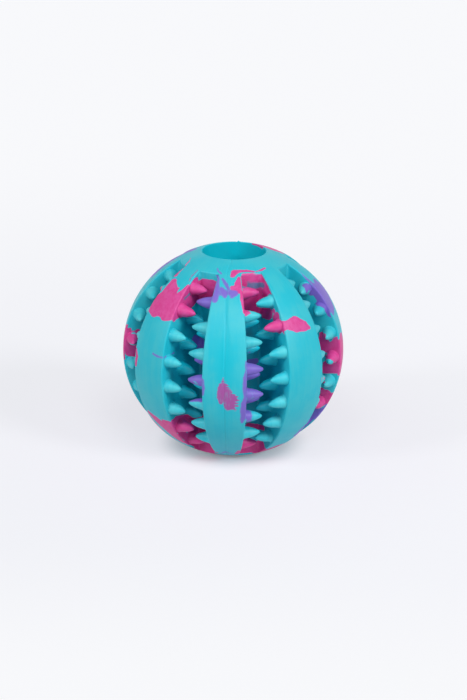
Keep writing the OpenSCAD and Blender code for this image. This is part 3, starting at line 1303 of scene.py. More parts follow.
        ((12.8, -18.4, 2.4, 0.9), (12.9, -19.9, 1.3, 0.95)),
        ((11.2, 11.3, 0.2, 1), (12.1, -3, 2.9, 1), (11.8, -18.6, 1.6, 1.2)),
        ((11.2, 8.3, 2.8, 2.3), (20.8, 8.2, 2.3, 1.2)),
        ((11.2, -6.7, 2.8, 2.3), (20.8, -6.6, 2.3, 1.2)),
        ((11.2, 1, 9.2, 2.3), (23.1, 1, 8.7, 1.2)),
        ((11.2, -17.9, 9, 2.3), (23.5, -17.5, 8.4, 1.2)),
        ((9.3, -21.7, 2.7, 2.3), (13.5, -21.7, 2.7, 1.9)),
        ((-11.2, 0.8, 2.7, 2.3), (-20.8, 0.8, 2.3, 1.2)),
        ((-11.2, 10.5, 9.2, 2.3), (-23.2, 10.3, 8.6, 1.2)),
        ((-11.2, -12.2, 3, 1.5), (-20.3, -12, 2.6, 0.8)),
        ((-10.4, -0.6, 0, 0.9), (-10.5, -5.6, 0, 0.7)),
        ((-33.8, 10.6, 0.6, 0.3), (-33.1, 11.7, 2, 0.22), (-33.8, 13, 5.1, 0.16)),
        ((78.8, 32.7, 2.1, 1.6), (76.3, 32.7, 2.1, 1)),
    )),
    *streaks(Rubber.PINK, Layer.DEEP, (
        ((13.9, 62.6, 0.1, 0.7), (23.5, 62.5, 0.1, 0.7), (32.4, 62.2, 0.3, 0.7)),
        ((33.8, 54, 3.9, 1.2), (30.4, 47.7, 1.5, 1.3), (33.2, 53.4, 6.8, 1.2)),
        ((21.8, 49.1, 9.8, 0.5), (28.4, 49.2, 9.8, 1), (33.4, 47.5, 9.9, 1)),
        ((33.8, 40, 3.1, 0.8),),
        ((78.8, -8, 4.9, 1.4), (78.8, -6.6, 2.7, 1.5), (78.8, -6, 0.5, 1.5)),
        ((78.7, 11.5, 5.2, 1.8), (78.8, 3.5, 5, 2.6)),
        ((78.7, 10.2, 0.8, 1.5), (77.9, 4, 1.9, 3.4), (75, 0.4, 1.2, 3.2)),
        ((78.7, 15.2, 5.1, 1), (70.3, 16, 3, 0.9)),
        ((78.7, -4.2, 4.8, 0.9),),
        ((78.7, -23.4, 1.7, 1.9), (74.2, -26.8, 1.9, 1.8)),
        ((78.8, -21.8, 3.7, 0.9),),
        ((70.3, -28.6, 1.6, 1.2), (76.7, -28.3, 1.1, 1.2)),
        ((78.8, -22.9, 0.6, 1.1), (78.8, -25.8, 0.7, 1.6)),
        ((-78.8, 11.7, 1.3, 1.3), (-78.1, 5.7, 1.4, 2.6), (-78.7, 0, 2.2, 1.7)),
        ((-78.7, 12.9, 3.9, 0.8), (-78.7, 3.8, 3.9, 1.6), (-78.8, -0.1, 3.8, 1.8)),
        ((-73.3, 10.2, 2, 0.8),),
        ((-33.8, -30.6, 2.4, 1.2), (-30.9, -37.5, 6.6, 1), (-28.5, -48.9, 9.9, 0.9)),
        ((-33.7, -38.1, 5.7, 1.9), (-33.7, -43.3, 7.4, 1.9), (-32.1, -49.8, 9.3, 1.7)),
        ((-33.8, -52.6, 5.5, 1.7), (-29.8, -55.5, 6.1, 1.5)),
        ((-32.8, -50.4, 4.6, 3), (-26.6, -55.9, 5.9, 1.2)),
        ((-32.1, -61.1, 1.3, 3), (-17.5, -61.6, 0.9, 2.4)),
        ((21.2, -52.3, 8.2, 1), (30.4, -53.5, 7.5, 1), (33.7, -48.6, 6.1, 0.9)),
        ((17.3, -50, 1.6, 2.7), (33.7, -58.6, 1.4, 2.1)),
        ((12.8, -61.7, 0.8, 1.6), (29.6, -61.9, 0.6, 2)),
        ((150.5, 74.7, 0.2, 0.2), (139.5, 74.6, 0.2, 0.3), (125.1, 74.9, 0.4, 0.6), (113.3, 74.8, 1.1, 0.5)),
    )),
    *streaks(Rubber.TURQUOISE, Layer.SIDES, (
        ((33.8, 45.8, 2.7, 2.4), (20.5, 45, 2.3, 1.3)),
        ((71.7, -0.1, 2.5, 1.3), (69.2, -0.1, 2.3, 1.2)),
        ((60.6, 8.2, 1.4, 0.9), (78.2, 2.7, 4.6, 0.6)),
        ((78.7, -0.3, 5.4, 0.8),),
        ((-75.3, 5.5, 2.9, 1.6), (-69.3, 5.4, 2.5, 1.2)),
        ((-15.9, 0.7, 1.3, 0.35), (-13.7, -0.3, 1.2, 0.35)),
        ((-11.2, -29.2, 2.8, 2.4), (-22, -28.7, 2.3, 1.2)),
        ((-11.2, -44.2, 2.7, 2.1), (-24.2, -43.4, 2.3, 1.1)),
        ((11.2, -36.7, 2.7, 2.1), (22.9, -36.1, 2.3, 0.9)),
    )),
    *streaks(Rubber.TURQUOISE, Layer.SKIN, (
        ((-55.9, -46.4, 0, 0.8), (-46.6, -47.6, 0, 0.9), (-41.3, -50, 0, 0.7)),
        ((12.7, -58.7, 0, 0.8), (16.3, -60.8, 0, 0.8)),
    )),
)


def hidden_strokes(patches: int = 34, seed: int = 11) -> list[Stroke]:
    """Scatters patches of the same kind over the sides that the front hides.

    Args:
        patches: Number of patches.
        seed: Seed of their places and sizes.

    Returns:
        Their strokes.
    """
    chance = random.Random(seed)
    scattered = []
    for _ in range(patches):
        rubber = Rubber.PINK if chance.random() < 0.62 else Rubber.PURPLE
        layer = chance.choice((Layer.SKIN, Layer.SKIN, Layer.SIDES, Layer.DEEP))
        azimuth, latitude = chance.uniform(118, 242), chance.uniform(-58, 60)
        radius = chance.uniform(0.5, 3.0)
        path = []
        for _ in range(chance.randint(2, 5)):
            depth = 0.0 if layer is Layer.SKIN else chance.uniform(1.0, 14.0)
            path.append((azimuth, latitude, depth, radius * chance.uniform(0.4, 1.2)))
            azimuth += chance.uniform(-8.0, 8.0)
            latitude += chance.uniform(-9.0, 9.0)
        scattered.append(Stroke(rubber, layer, tuple(path)))
    return scattered


@dataclass(frozen=True)
class Marbling:
    """Where each rubber of the mix comes to the surface.

    Attributes:
        sizes: The ball's sizes.
        strokes: The strokes of colour.
        floor_reach: Distance from the axis within which the strokes of the floors show.
        blend: Distance over which strokes of one rubber run into each other.
        limit: Distance from a stroke past which it isn't followed.
    """

    sizes: BallSizes
    strokes: Sequence[Stroke]
    floor_reach: float = 17.7 * MM
    blend: float = 0.25 * MM
    limit: float = 3.0 * MM

    def spot(self, azimuth: float, latitude: float, depth: float) -> np.ndarray:
        """Gives the place of a stroke's point, in metres from the ball's centre."""
        distance, height = self.sizes.crown.point(math.radians(latitude), depth * MM)
        turn = math.radians(azimuth - 90)
        return np.array((distance * math.cos(turn), distance * math.sin(turn), height))

    def reach(self, places: np.ndarray, rubber: Rubber, layers: Iterable[Layer]) -> np.ndarray:
        """Measures how far places lie outside the strokes of one rubber.

        Args:
            places: Points in metres from the ball's centre.
            rubber: The strokes' colour.
            layers: The layers whose strokes count.

        Returns:
            The distance of each point from the nearest stroke's edge, below 0 inside it.
        """
        nearest = np.full(len(places), self.limit)
        low, high = places.min(axis=0) - self.limit, places.max(axis=0) + self.limit
        for stroke in self.strokes:
            if stroke.rubber is not rubber or stroke.layer not in layers:
                continue
            spots = [(self.spot(*point[:3]), point[3] * MM) for point in stroke.path]
            for (start, start_r), (end, end_r) in zip(spots, spots[1:] or spots):
                wide = max(start_r, end_r)
                if np.any(np.maximum(start, end) + wide < low) or np.any(np.minimum(start, end) - wide > high):
                    continue
                span = end - start
                length = max(float(span @ span), 1e-12)
                along = np.clip((places - start) @ span / length, 0.0, 1.0)
                away = np.linalg.norm(places - start - along[:, None] * span, axis=1)
                away -= start_r + (end_r - start_r) * along
                share = np.clip(0.5 + 0.5 * (away - nearest) / self.blend, 0.0, 1.0)
                nearest = away + (nearest - away) * share - self.blend * share * (1 - share)
        return nearest

    def paint(self, piece: bpy.types.Object) -> None:
        """Keeps at each point of a piece how far it lies outside the strokes of each rubber.

        Two attributes are kept, in millimetres: skin_paint for the outer curve and groove_paint
        for all that lies deeper. Their parts are pink, purple and the smear of pink. A third,
        thin, is 1 on the teeth, which get a painted highlight.

        Args:
            piece: The finished mesh object.
        """
        count = len(piece.data.vertices)
        flat = np.empty(count * 3)
        piece.data.vertices.foreach_get("co", flat)
        places = flat.reshape(count, 3) - (0.0, 0.0, self.sizes.crown.centre_z)
        at_floor = np.hypot(places[:, 0], places[:, 1]) < self.floor_reach
        for name, sets in (
            (SKIN_PAINT, ((Layer.SKIN,), (Layer.SKIN,))),
            (GROOVE_PAINT, ((Layer.SIDES, Layer.DEEP), (Layer.FLOOR, Layer.DEEP))),
        ):
            parts = []
            bare, bare_floor = (self.reach(places, Rubber.TURQUOISE, layers) for layers in sets)
            for rubber in (Rubber.PINK, Rubber.PURPLE, Rubber.SMEAR):
                high, low = (self.reach(places, rubber, layers) for layers in sets)
                parts.append(np.where(at_floor, np.maximum(low, -bare_floor), np.maximum(high, -bare)))
            kept = piece.data.attributes.new(name, "FLOAT_VECTOR", "POINT")
            kept.data.foreach_set("vector", (np.stack(parts, axis=1) / MM).astype(np.float32).ravel())
        thin = piece.data.attributes.new(ON_TEETH, "FLOAT", "POINT")
        thin.data.foreach_set("value", np.full(count, float(piece.name.startswith(POINTED)), dtype=np.float32))


@dataclass(frozen=True)
class SheenlessStrip:
    """The strip along the front parting line, sunk a little, where the painted sheen is left out, in millimetres.

    Attributes:
        middle: How far right of the ball's middle it lies.
        narrow: Half of its width at the top.
        wide: Half of its width lower down.
        widens: Heights between which it widens.
        level: Height of its own middle.
        fades: Distances above and below that, between which it comes up from nothing.
        core: Share of its half width within which the painted sheen is fully left out.
    """

    middle: float = -0.1
    narrow: float = 0.9
    wide: float = 3.3
    widens: tuple[float, float] = (20.0, 8.0)
    level: float = 6.0
    fades: tuple[float, float] = (27.0, 9.0)
    core: float = 0.1

    def show(self, w: Wiring, x: Socket, z: Socket) -> Socket:
        """Gives how much of the painted sheen is left out at a place.

        Args:
            w: The material's wiring.
            x: Place towards the right of the ball's middle.
            z: Height over the ball's centre.

        Returns:
            The share's socket.
        """
        width = w.math("MULTIPLY_ADD", w.ramp(z, *self.widens), self.wide - self.narrow, self.narrow)
        aside = w.math("DIVIDE", w.math("ABSOLUTE", w.math("SUBTRACT", x, self.middle)), width)
        height = w.ramp(w.math("ABSOLUTE", w.math("SUBTRACT", z, self.level)), *self.fades)
        return w.math("MULTIPLY", w.ramp(aside, 1.0, self.core), height)


@dataclass(frozen=True)
class Mottle:
    """How a rubber's paler colour, a painted sheen, comes up in clouds.

    Attributes:
        scale: Clouds per millimetre.
        span: Noise between which the paler colour comes up.
        least: Share of the paler colour where there is no cloud.
    """

    scale: float
    span: tuple[float, float]
    least: float

    def share(self, w: Wiring, noise: Socket) -> Socket:
        """Turns a noise into the share of the paler colour and returns its socket."""
        return w.math("MULTIPLY_ADD", w.ramp(noise, *self.span), 1.0 - self.least, self.least)


@dataclass(frozen=True)
class Spot:
    """Sockets that say where a point of the rubber lies, in millimetres.

    Attributes:
        place: Place from the ball's centre.
        deep: 1 under the outer curve's skin, 0 on it.
        flow: Streaks that run from pole to pole.
        clear: 1 on the strip along the front parting line, which is clear of the painted sheen.
        painted_light: Painted light and shade: 1 on the outer curve, which gets the painted sheen, and 0 deep in the
            grooves, which get the painted shade; less low on the ball.
        inside: 1 on the walls of the openings.
    """

    place: Socket
    deep: Socket
    flow: Socket
    clear: Socket
    painted_light: Socket
    inside: Socket


@dataclass(frozen=True)
class MarbledRubber:
    """Rubber of three colours that were pressed together in the mould before it set.

    Attributes:
        sizes: The ball's sizes.
        turquoise: The mix's main colour, as a screen shows it.
        turquoise_cloud_sheen: A paler turquoise that comes up in random clouds on the outer curve: painted sheen.
        turquoise_shaded: A darker turquoise on the walls and floors of the grooves: painted shade.
        turquoise_teeth_sheen: A paler turquoise that comes up in clouds on the teeth: a painted highlight.
        turquoise_sheenless: The turquoise on the strip along the front parting line, where the painted sheen is left
            out.
        turquoise_lit_inside: A brighter, plainer turquoise on the openings' walls: painted light.
        pink: Its second colour.
        pink_cloud_sheen: A paler pink that comes up in random clouds, fading out deep in the grooves: partly its own
            tone, partly painted sheen.
        purple: Its third colour.
        smear: The colour where pink was rubbed thinly over turquoise.
        smear_deep: The colour of the thin turquoise over the pink of the floors.
        skin: Depth down to which the outer curve's strokes show, in metres.
        border: Half of the width of the border between two colours, in millimetres.
        wander: Noises that move a border: waves per millimetre, finer layers and reach in millimetres.
        purple_edge: How much of the purple covers at its borders, where it is thin.
        purple_thin: Distance from its borders over which it comes to cover fully, in millimetres.
        comb: How strongly the smear is combed out on its left, and how much more on its right.
        comb_sides: Places right of the ball's middle between which the combing grows, in millimetres.
        comb_waves: Waves of the combing per millimetre along each axis.
        smear_cover: How much the smear covers where it is thinnest and where it is thickest.
        smear_border: Half of the width of its border, in millimetres.
        drag: Noise between which it goes from thinnest to thickest.
        drag_waves: Waves of that noise per millimetre along each axis.
        mottle: How the turquoise's paler colour comes up in clouds.
        pink_sheen_clouds: How the pink's paler colour, its painted sheen, comes up in clouds.
        painted_light_depths: Depths between which the painted light comes up, in millimetres; deeper lies the painted
            shade.
        painted_light_heights: Heights between which it does so again, in millimetres.
        painted_light_low: Share of the painted light that is left below those heights.
        inside_fade: Distance from an opening's wall over which its colour ends, in millimetres.
        flow_scale: Streaks from pole to pole per millimetre.
        flow_turn: How much they change with height, per millimetre.
        specular: The surface's specular level.
        roughness: The surface's roughness where the rubber is dense and where it is clouded.
        rough_clouds: Clouds per millimetre in that.
        rough_span: Noise between which the one gives way to the other.
        hollow: How far the strip along the front parting line is sunk, in metres.
        grain: Height of the fine grain, in metres.
        grain_waves: Waves of the grain per millimetre.
        grain_strength: How much of it shows.
        strip: The strip along the front parting line, which is clear of the painted sheen.
    """

    sizes: BallSizes
    turquoise: Screen = (0, 187, 208)
    # Paler turquoise in random clouds, as painted sheen
    turquoise_cloud_sheen: Screen = (52, 191, 206)
    # Painted shade in the grooves
    turquoise_shaded: Screen = (0, 168, 191)
    # Painted highlight on the teeth
    turquoise_teeth_sheen: Screen = (74, 203, 215)
    # Turquoise without the painted sheen, on the front parting line
    turquoise_sheenless: Screen = (0, 187, 207)
    # Painted light on the openings' walls
    turquoise_lit_inside: Screen = (0, 196, 217)
    pink: Screen = (211, 42, 131)
    # Paler pink in random clouds, also a painted sheen on the outer curve
    pink_cloud_sheen: Screen = (216, 78, 156)
    purple: Screen = (122, 101, 199)
    smear: Screen = (166, 74, 156)
    smear_deep: Screen = (84, 126, 168)
    skin: float = 0.45 * MM
    border: float = 0.13
    wander: tuple[Point, ...] = ((0.45, 2.0, 0.45), (2.6, 1.0, 0.25))
    purple_edge: float = 0.75
    purple_thin: float = 0.6
    comb: tuple[float, float] = (0.5, 2.4)
    comb_sides: tuple[float, float] = (-1.6, 2.2)
    comb_waves: Point = (0.35, 0.35, 2.1)
    smear_cover: tuple[float, float] = (0.8, 0.97)
    smear_border: float = 0.22
    drag: tuple[float, float] = (0.36, 0.56)
    drag_waves: Point = (1.5, 1.5, 0.3)
    mottle: Mottle = Mottle(0.16, (0.38, 0.62), 0.3)
    pink_sheen_clouds: Mottle = Mottle(0.5, (0.35, 0.65), 0.4)
    # Painted light and shade: strong on the outer curve, none deep in the grooves, half as strong low on the ball
    painted_light_depths: tuple[float, float] = (8.0, 2.0)
    painted_light_heights: tuple[float, float] = (-30.0, -6.0)
    painted_light_low: float = 0.5
    inside_fade: float = 0.6
    flow_scale: float = 0.9
    flow_turn: float = 0.002
    specular: float = 0.38
    roughness: tuple[float, float] = (0.4, 0.54)
    rough_clouds: float = 0.3
    rough_span: tuple[float, float] = (0.3, 0.7)
    hollow: float = 0.15 * MM
    grain: float = 0.05 * MM
    grain_waves: float = 4.5
    grain_strength: float = 0.25
    strip: SheenlessStrip = field(default_factory=SheenlessStrip)

    def material(self) -> bpy.types.Material:
        """Builds the node material and returns it."""
        made = bpy.data.materials.new("Marbled rubber")
        made.use_nodes = True
        w = Wiring(made.node_tree)
        shader = made.node_tree.nodes["Principled BSDF"]
        spot = self.find(w)
        w.feed(shader.inputs["Base Color"], self.colour(w, spot, self.bases(w, spot), self.strokes(w, spot)))
        self.finish(w, shader, spot)
        return made

    def find(self, w: Wiring) -> Spot:
        """Works out where a point of the rubber lies.

        Args:
            w: The material's wiring.

        Returns:
            What the other steps need to know of the place.
        """
        crown, opening = self.sizes.crown, self.sizes.mouth_r / MM
        seen = w.node("ShaderNodeTexCoord").outputs["Object"]
        place = w.vector("SCALE", w.vector("SUBTRACT", seen, (0.0, 0.0, crown.centre_z)), scale=1 / MM)
        x, y, z = w.split(place)
        axis = w.hypot(x, y)
        depth = w.math("SUBTRACT", crown.radius / MM, w.hypot(w.math("SUBTRACT", axis, crown.offset / MM), z))
        deep = w.math("GREATER_THAN", depth, self.skin / MM)
        around = w.combine(w.math("DIVIDE", x, axis), w.math("DIVIDE", y, axis), w.math("MULTIPLY", z, self.flow_turn))
        around = w.vector("SCALE", around, scale=crown.radius / MM)
        # Painted light is half as strong low on the ball, as painted shade, and goes out deep in the grooves
        lower = w.math("MULTIPLY_ADD", w.ramp(z, *self.painted_light_heights), 1.0 - self.painted_light_low, self.painted_light_low)
        return Spot(
            place=place,
            deep=deep,
            flow=w.noise(around, self.flow_scale, 3.0, 0.6).outputs[0],
            clear=w.math("MULTIPLY", self.strip.show(w, x, z), w.math("SUBTRACT", 1.0, deep)),
            painted_light=w.math("MULTIPLY", w.ramp(depth, *self.painted_light_depths), lower),
            inside=w.ramp(axis, opening + self.inside_fade, opening),
        )

    def bases(self, w: Wiring, spot: Spot) -> tuple[Socket, Socket]:
        """Mixes the turquoise that all else lies in, and the pink, both with a painted sheen that comes up in clouds;
        the turquoise also gets painted shade in the grooves and painted light on the openings' walls.

        Args:
            w: The material's wiring.
            spot: Where the point lies.

        Returns:
            The sockets of the turquoise and of the pink.
        """
        clouds = self.clouds(w, spot, self.mottle.scale)
        # Painted sheen: the paler turquoise comes up in clouds where the painted light is strong
        turquoise_sheen_share = w.math("MULTIPLY", spot.painted_light, self.mottle.share(w, clouds))
        thin = w.node("ShaderNodeAttribute", attribute_name=ON_TEETH).outputs["Fac"]
        # Painted shade: a darker turquoise deep in the grooves, though not on the teeth
        low = w.mix(w.math("MAXIMUM", spot.painted_light, thin), linear(*self.turquoise_shaded), linear(*self.turquoise))
        # Painted highlight: a paler turquoise on the teeth
        high = w.mix(thin, linear(*self.turquoise_cloud_sheen), linear(*self.turquoise_teeth_sheen))
        # The strip on the front parting line leaves out the painted sheen
        turquoise = w.mix(spot.clear, w.mix(turquoise_sheen_share, low, high), linear(*self.turquoise_sheenless))
        noise = w.noise(spot.place, self.pink_sheen_clouds.scale, 3.0, 0.6).outputs[0]
        # Painted sheen on the pink too, in clouds, where the painted light is strong
        pink_sheen_clouds = w.math("MULTIPLY", spot.painted_light, self.pink_sheen_clouds.share(w, noise))
        return (
            # Painted light: a brighter turquoise on the openings' walls
            w.mix(spot.inside, turquoise, linear(*self.turquoise_lit_inside)),
            w.mix(pink_sheen_clouds, linear(*self.pink), linear(*self.pink_cloud_sheen)),
        )

    def clouds(self, w: Wiring, spot: Spot, scale: float) -> Socket:
        """Mixes clouds with the streaks from pole to pole.

        Args:
            w: The material's wiring.
            spot: Where the point lies.
            scale: Clouds per millimetre.

        Returns:
            The mix's socket.
        """
        clouds = w.math("MULTIPLY", w.noise(spot.place, scale, 3.0).outputs[0], 0.6)
        return w.math("ADD", clouds, w.math("MULTIPLY", spot.flow, 0.4))

    def strokes(self, w: Wiring, spot: Spot) -> Sequence[Socket]:
        """Reads how far a place lies outside the strokes, and roughens their edges.

        Args:
            w: The material's wiring.
            spot: Where the point lies.

        Returns:
            Distances in millimetres for pink, purple and the smear.
        """
        chosen = w.node("ShaderNodeMix", data_type="VECTOR")
        w.feed(chosen.inputs["Factor"], spot.deep)
        for slot, name in ((4, SKIN_PAINT), (5, GROOVE_PAINT)):
            w.feed(chosen.inputs[slot], w.node("ShaderNodeAttribute", attribute_name=name).outputs["Vector"])
        shakes = []
        for scale, detail, reach in self.wander:
            noise = w.noise(spot.place, scale, detail).outputs["Color"]
            shakes.append(w.vector("SCALE", w.vector("SUBTRACT", noise, (0.5, 0.5, 0.5)), scale=reach))
        return w.split(w.vector("ADD", chosen.outputs[1], w.vector("ADD", *shakes)))

    def colour(self, w: Wiring, spot: Spot, bases: Sequence[Socket], strokes: Sequence[Socket]) -> Socket:
        """Lays the rubbers over each other.

        Args:
            w: The material's wiring.
            spot: Where the point lies.
            bases: The turquoise and the pink.
            strokes: Distances outside the strokes of pink, of purple and of the smear.

        Returns:
            The colour's socket.
        """
        pink, purple, smear = strokes
        colour = w.mix(w.ramp(pink, self.border, -self.border), *bases)
        full = w.ramp(purple, 0.0, -self.purple_thin)
        cover = w.math("MULTIPLY_ADD", full, 1.0 - self.purple_edge, self.purple_edge)
        cover = w.math("MAXIMUM", cover, spot.deep)
        laid = w.math("MULTIPLY", w.ramp(purple, self.border, -self.border), cover)
        colour = w.mix(laid, colour, linear(*self.purple))

        def stretched(stretch: Point, detail: float) -> Socket:
            return w.noise(w.vector("MULTIPLY", spot.place, stretch), 1.0, detail, 0.6).outputs[0]

        right = w.ramp(w.split(spot.place)[0], *self.comb_sides)
        right = w.math("MULTIPLY", right, w.math("SUBTRACT", 1.0, spot.deep))
        pull = w.math("MULTIPLY_ADD", right, -self.comb[1], -self.comb[0])
        combed = w.math("MULTIPLY_ADD", w.math("SUBTRACT", stretched(self.comb_waves, 1.0), 0.5), pull, smear)
        thinnest, thickest = self.smear_cover
        drag = w.ramp(stretched(self.drag_waves, 3.0), *self.drag)
        rubbed = w.math("MULTIPLY_ADD", drag, thickest - thinnest, thinnest)
        rubbed = w.math("MULTIPLY", rubbed, w.ramp(combed, self.smear_border, -self.smear_border))
        return w.mix(rubbed, colour, w.mix(spot.deep, linear(*self.smear), linear(*self.smear_deep)))

    def finish(self, w: Wiring, shader: bpy.types.Node, spot: Spot) -> None:
        """Gives the rubber its dull, slightly uneven surface.

        Args:
            w: The material's wiring.
            shader: The main shader.
            spot: Where the point lies.
        """
        shader.inputs["Specular IOR Level"].default_value = self.specular
        rough = w.node("ShaderNodeMapRange")
        for name, value in zip(("From Min", "From Max", "To Min", "To Max"), (*self.rough_span, *self.roughness)):
            w.feed(rough.inputs[name], value)
        w.feed(rough.inputs["Value"], self.clouds(w, spot, self.rough_clouds))
        w.feed(shader.inputs["Roughness"], rough.outputs[0])
        normal = None
        fine = w.noise(spot.place, self.grain_waves, 3.0, 0.6).outputs[0]
        bumps = ((spot.clear, -self.hollow, 1.0), (fine, self.grain, self.grain_strength))
        for height, distance, strength in bumps:
            bump = w.node("ShaderNodeBump")
            for name, value in (("Normal", normal), ("Strength", strength), ("Distance", distance), ("Height", height)):
                w.feed(bump.inputs[name], value)
            normal = bump.outputs[0]
        w.feed(shader.inputs["Normal"], normal)


# ------------------------------------------------------------------------------ studio and camera


@dataclass(frozen=True)
class Softbox:
    """A large soft lamp far from the ball.

    Attributes:
        name: Its name.
        azimuth: Direction that it stands in, in degrees anticlockwise from +X.
        elevation: Its height over the floor, in degrees.
        spread: How wide it looks from the ball, in degrees.
        strength: Its strength.
    """

    name: str
    azimuth: float
    elevation: float
    spread: float
    strength: float

    def add(self) -> None:
        """Adds the lamp."""
        data = bpy.data.lights.new(self.name, "SUN")
        data.angle = math.radians(self.spread)
        data.energy = self.strength
        lamp = bpy.data.objects.new(self.name, data)
        up, turn = math.radians(self.elevation), math.radians(self.azimuth)
        towards = Vector((math.cos(up) * math.cos(turn), math.cos(up) * math.sin(turn), math.sin(up)))
        lamp.rotation_mode = "QUATERNION"
        lamp.rotation_quaternion = towards.to_track_quat("Z", "Y")
        bpy.context.scene.collection.objects.link(lamp)


@dataclass(frozen=True)
class Studio:
    """A plain pale floor, softboxes on both sides of the front, and the camera.

    Attributes:
        distance: Distance of the camera from the point that it looks at.
        elevation: Camera's height over that point, in degrees.
        azimuth: Camera's turn from the front towards the right, in degrees.
        roll: Camera's turn about its own line of sight, in degrees.
        lens: Focal length, in millimetres on a 36 mm wide sensor.
        aim_right: How far right of the ball's centre it looks.
        aim_up: How far above the ball's centre it looks.
        floor_size: Length of the floor's sides.
        floor_colour: The floor's colour under the light, as a screen shows it.
        floor_roughness: Its roughness.
        floor_specular: Its specular level.
        glow_sides: Colour of its glow on the left and on the right.
        glow_far: The same far behind and in front of the ball.
        glow_near: The same round the ball.
        sides: Places right of the axis between which the left glow gives way to the right one.
        behind: Places behind the axis between which the far glow comes up.
        before: The same in front of it.
        around: Distances from the axis between which the near glow comes up.
        glow_strength: Strength of the glow.
        floor_glow: How much of the floor's look is glow, which doesn't depend on the light.
        contact_glow: The same close under the ball, where the shadow is darkest.
        contact: Distances from the axis between which the one gives way to the other.
        softboxes: The lamps.
        sky: Strength of the white room, in what it lights.
        room: Strength of the white room, in what it shows and reflects.
        room_colour: Its colour, as a screen shows it.
    """

    sizes: BallSizes
    distance: float = 546 * MM
    elevation: float = 19.4
    azimuth: float = 4.29
    roll: float = 0.55
    lens: float = 88.15
    aim_right: float = 0.09 * MM
    aim_up: float = -0.6 * MM
    floor_size: float = 8.0
    floor_colour: Screen = (224, 224, 229)
    floor_roughness: float = 0.9
    floor_specular: float = 0.1
    glow_sides: tuple[Screen, Screen] = ((242, 243, 248), (248, 249, 254))
    glow_far: Screen = (252, 253, 255)
    glow_near: Screen = (244, 242, 249)
    sides: tuple[float, float] = (-0.15, 0.15)
    behind: tuple[float, float] = (0.0, 0.4)
    before: tuple[float, float] = (-0.07, -0.16)
    around: tuple[float, float] = (0.1, 0.03)
    glow_strength: float = 1.14
    floor_glow: float = 0.65
    contact_glow: float = 0.18
    contact: tuple[float, float] = (26 * MM, 13 * MM)
    softboxes: tuple[Softbox, ...] = (
        Softbox("Right", -31.0, 29.0, 16.0, 1.46),
        Softbox("Right above", -66.0, 53.0, 24.0, 1.04),
        Softbox("Left", -147.0, 26.0, 16.0, 1.04),
        Softbox("Left above", -110.0, 55.0, 24.0, 0.62),
    )
    sky: float = 0.02
    room: float = 1.0
    room_colour: Screen = (252, 252, 255)

    def add_camera(self) -> None:
        """Adds the camera."""
        data = bpy.data.cameras.new("Camera")
        data.lens = self.lens
        data.clip_start = 0.02
        camera = bpy.data.objects.new("Camera", data)
        bpy.context.scene.collection.objects.link(camera)
        bpy.context.scene.camera = camera
        up, turn = math.radians(self.elevation), math.radians(self.azimuth)
        back = Vector((math.cos(up) * math.sin(turn), -math.cos(up) * math.cos(turn), math.sin(up)))
        level = back.to_track_quat("Z", "Y")
        camera.rotation_mode = "QUATERNION"
        camera.rotation_quaternion = level @ Euler((0, 0, math.radians(self.roll))).to_quaternion()
        aim = Vector((0, 0, self.sizes.crown.centre_z)) + level @ Vector((self.aim_right, self.aim_up, 0))
        camera.location = aim + back * self.distance

    def add_floor(self) -> None:
        """Adds the floor, which the camera sees paler than the light makes it but with the shadow."""
        half = self.floor_size / 2
        mesh = bpy.data.meshes.new("Floor")
        mesh.from_pydata([(-half, -half, 0), (half, -half, 0), (half, half, 0), (-half, half, 0)], [], [(0, 1, 2, 3)])
        floor = bpy.data.objects.new("Floor", mesh)
        bpy.context.scene.collection.objects.link(floor)
        material = bpy.data.materials.new("Pale studio floor")
        material.use_nodes = True
        w = Wiring(material.node_tree)
        shader = material.node_tree.nodes["Principled BSDF"]
        shader.inputs["Base Color"].default_value = linear(*self.floor_colour)
        shader.inputs["Roughness"].default_value = self.floor_roughness
        shader.inputs["Specular IOR Level"].default_value = self.floor_specular
        x, y, _ = w.split(w.node("ShaderNodeTexCoord").outputs["Object"])
        away = w.vector("LENGTH", w.combine(x, y, 0.0))
        near = w.ramp(away, *self.contact)
        left, right = (linear(*colour) for colour in self.glow_sides)
        pale = w.mix(w.ramp(x, *self.sides), left, right)
        far = w.math("MAXIMUM", w.ramp(y, *self.behind), w.ramp(y, *self.before))
        pale = w.mix(far, pale, linear(*self.glow_far))
        pale = w.mix(w.ramp(away, *self.around), pale, linear(*self.glow_near))
        glow = w.node("ShaderNodeEmission")
        glow.inputs["Strength"].default_value = self.glow_strength
        w.feed(glow.inputs["Color"], pale)
        mixed = w.node("ShaderNodeMixShader")
        glowing = w.math("MULTIPLY_ADD", near, self.contact_glow - self.floor_glow, self.floor_glow)
        w.feed(mixed.inputs[0], w.math("MULTIPLY", self.seen(w), glowing))
        w.feed(mixed.inputs[1], shader.outputs[0])
        w.feed(mixed.inputs[2], glow.outputs[0])
        w.feed(material.node_tree.nodes["Material Output"].inputs["Surface"], mixed.outputs[0])
        mesh.materials.append(material)

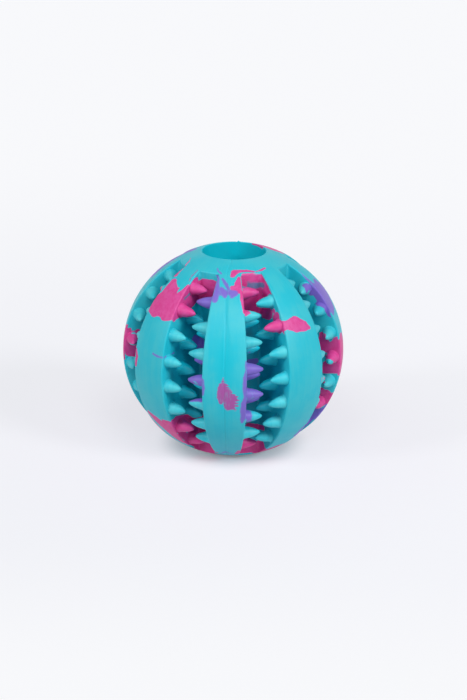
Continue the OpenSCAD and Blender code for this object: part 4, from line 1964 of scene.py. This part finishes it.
    def add_world(self) -> None:
        """Adds the white room, which the rubber reflects though it hardly lights it."""
        world = bpy.data.worlds.new("Studio")
        bpy.context.scene.world = world
        world.use_nodes = True
        w = Wiring(world.node_tree)
        background = world.node_tree.nodes["Background"]
        background.inputs["Color"].default_value = linear(*self.room_colour)
        w.feed(background.inputs["Strength"], w.math("MULTIPLY_ADD", self.seen(w), self.room - self.sky, self.sky))

    def seen(self, w: Wiring) -> Socket:
        """Gives 1 for what the camera sees, straight or mirrored, and 0 for light that falls on something."""
        rays = w.node("ShaderNodeLightPath")
        seen = w.math("MAXIMUM", rays.outputs["Is Camera Ray"], rays.outputs["Is Glossy Ray"])
        return w.math("MAXIMUM", seen, rays.outputs["Is Transmission Ray"])

    def build(self) -> None:
        """Sets up floor, light, world and camera."""
        self.add_camera()
        self.add_floor()
        self.add_world()
        for softbox in self.softboxes:
            softbox.add()


# ------------------------------------------------------------------------------------------- whole


def main() -> None:
    """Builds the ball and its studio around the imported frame."""
    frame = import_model()
    logging.basicConfig(level=logging.INFO, format="%(message)s")
    bpy.context.scene.view_settings.view_transform = "Standard"

    sizes = BallSizes.from_frame(frame["nodes"])
    rubber = MarbledRubber(sizes).material()
    marbling = Marbling(sizes, (*FRONT_STROKES, *hidden_strokes()))

    hand_over(CoreWall(sizes).build(), "core_wall", rubber, marbling)
    collars = (
        Collar(
            sizes, "crown_of_mouth", "mouth_collar", sizes.mouth_r, sizes.wall_high, rim_r=0.22 * MM, nub=0.35 * MM
        ),
        Collar(sizes, "crown_of_base", "base_collar", sizes.base_r, sizes.wall_low, foot_w=sizes.foot_w),
    )
    for collar in collars:
        hand_over(collar.build(), collar.node, rubber, marbling)
    for number, name in enumerate(sizes.rib_names, start=1):
        hand_over(Rib(sizes, number).build(), name, rubber, marbling)
    tree = ToothTree(Tooth())
    for number in range(1, len(sizes.rib_names) + 1):
        for flank in Flank:
            for row in Row:
                teeth = ToothRow(sizes, number, flank, row)
                hand_over(teeth.build(tree, rubber), teeth.node, rubber, marbling)

    Studio(sizes).build()


if __name__ == "__main__":
    main()
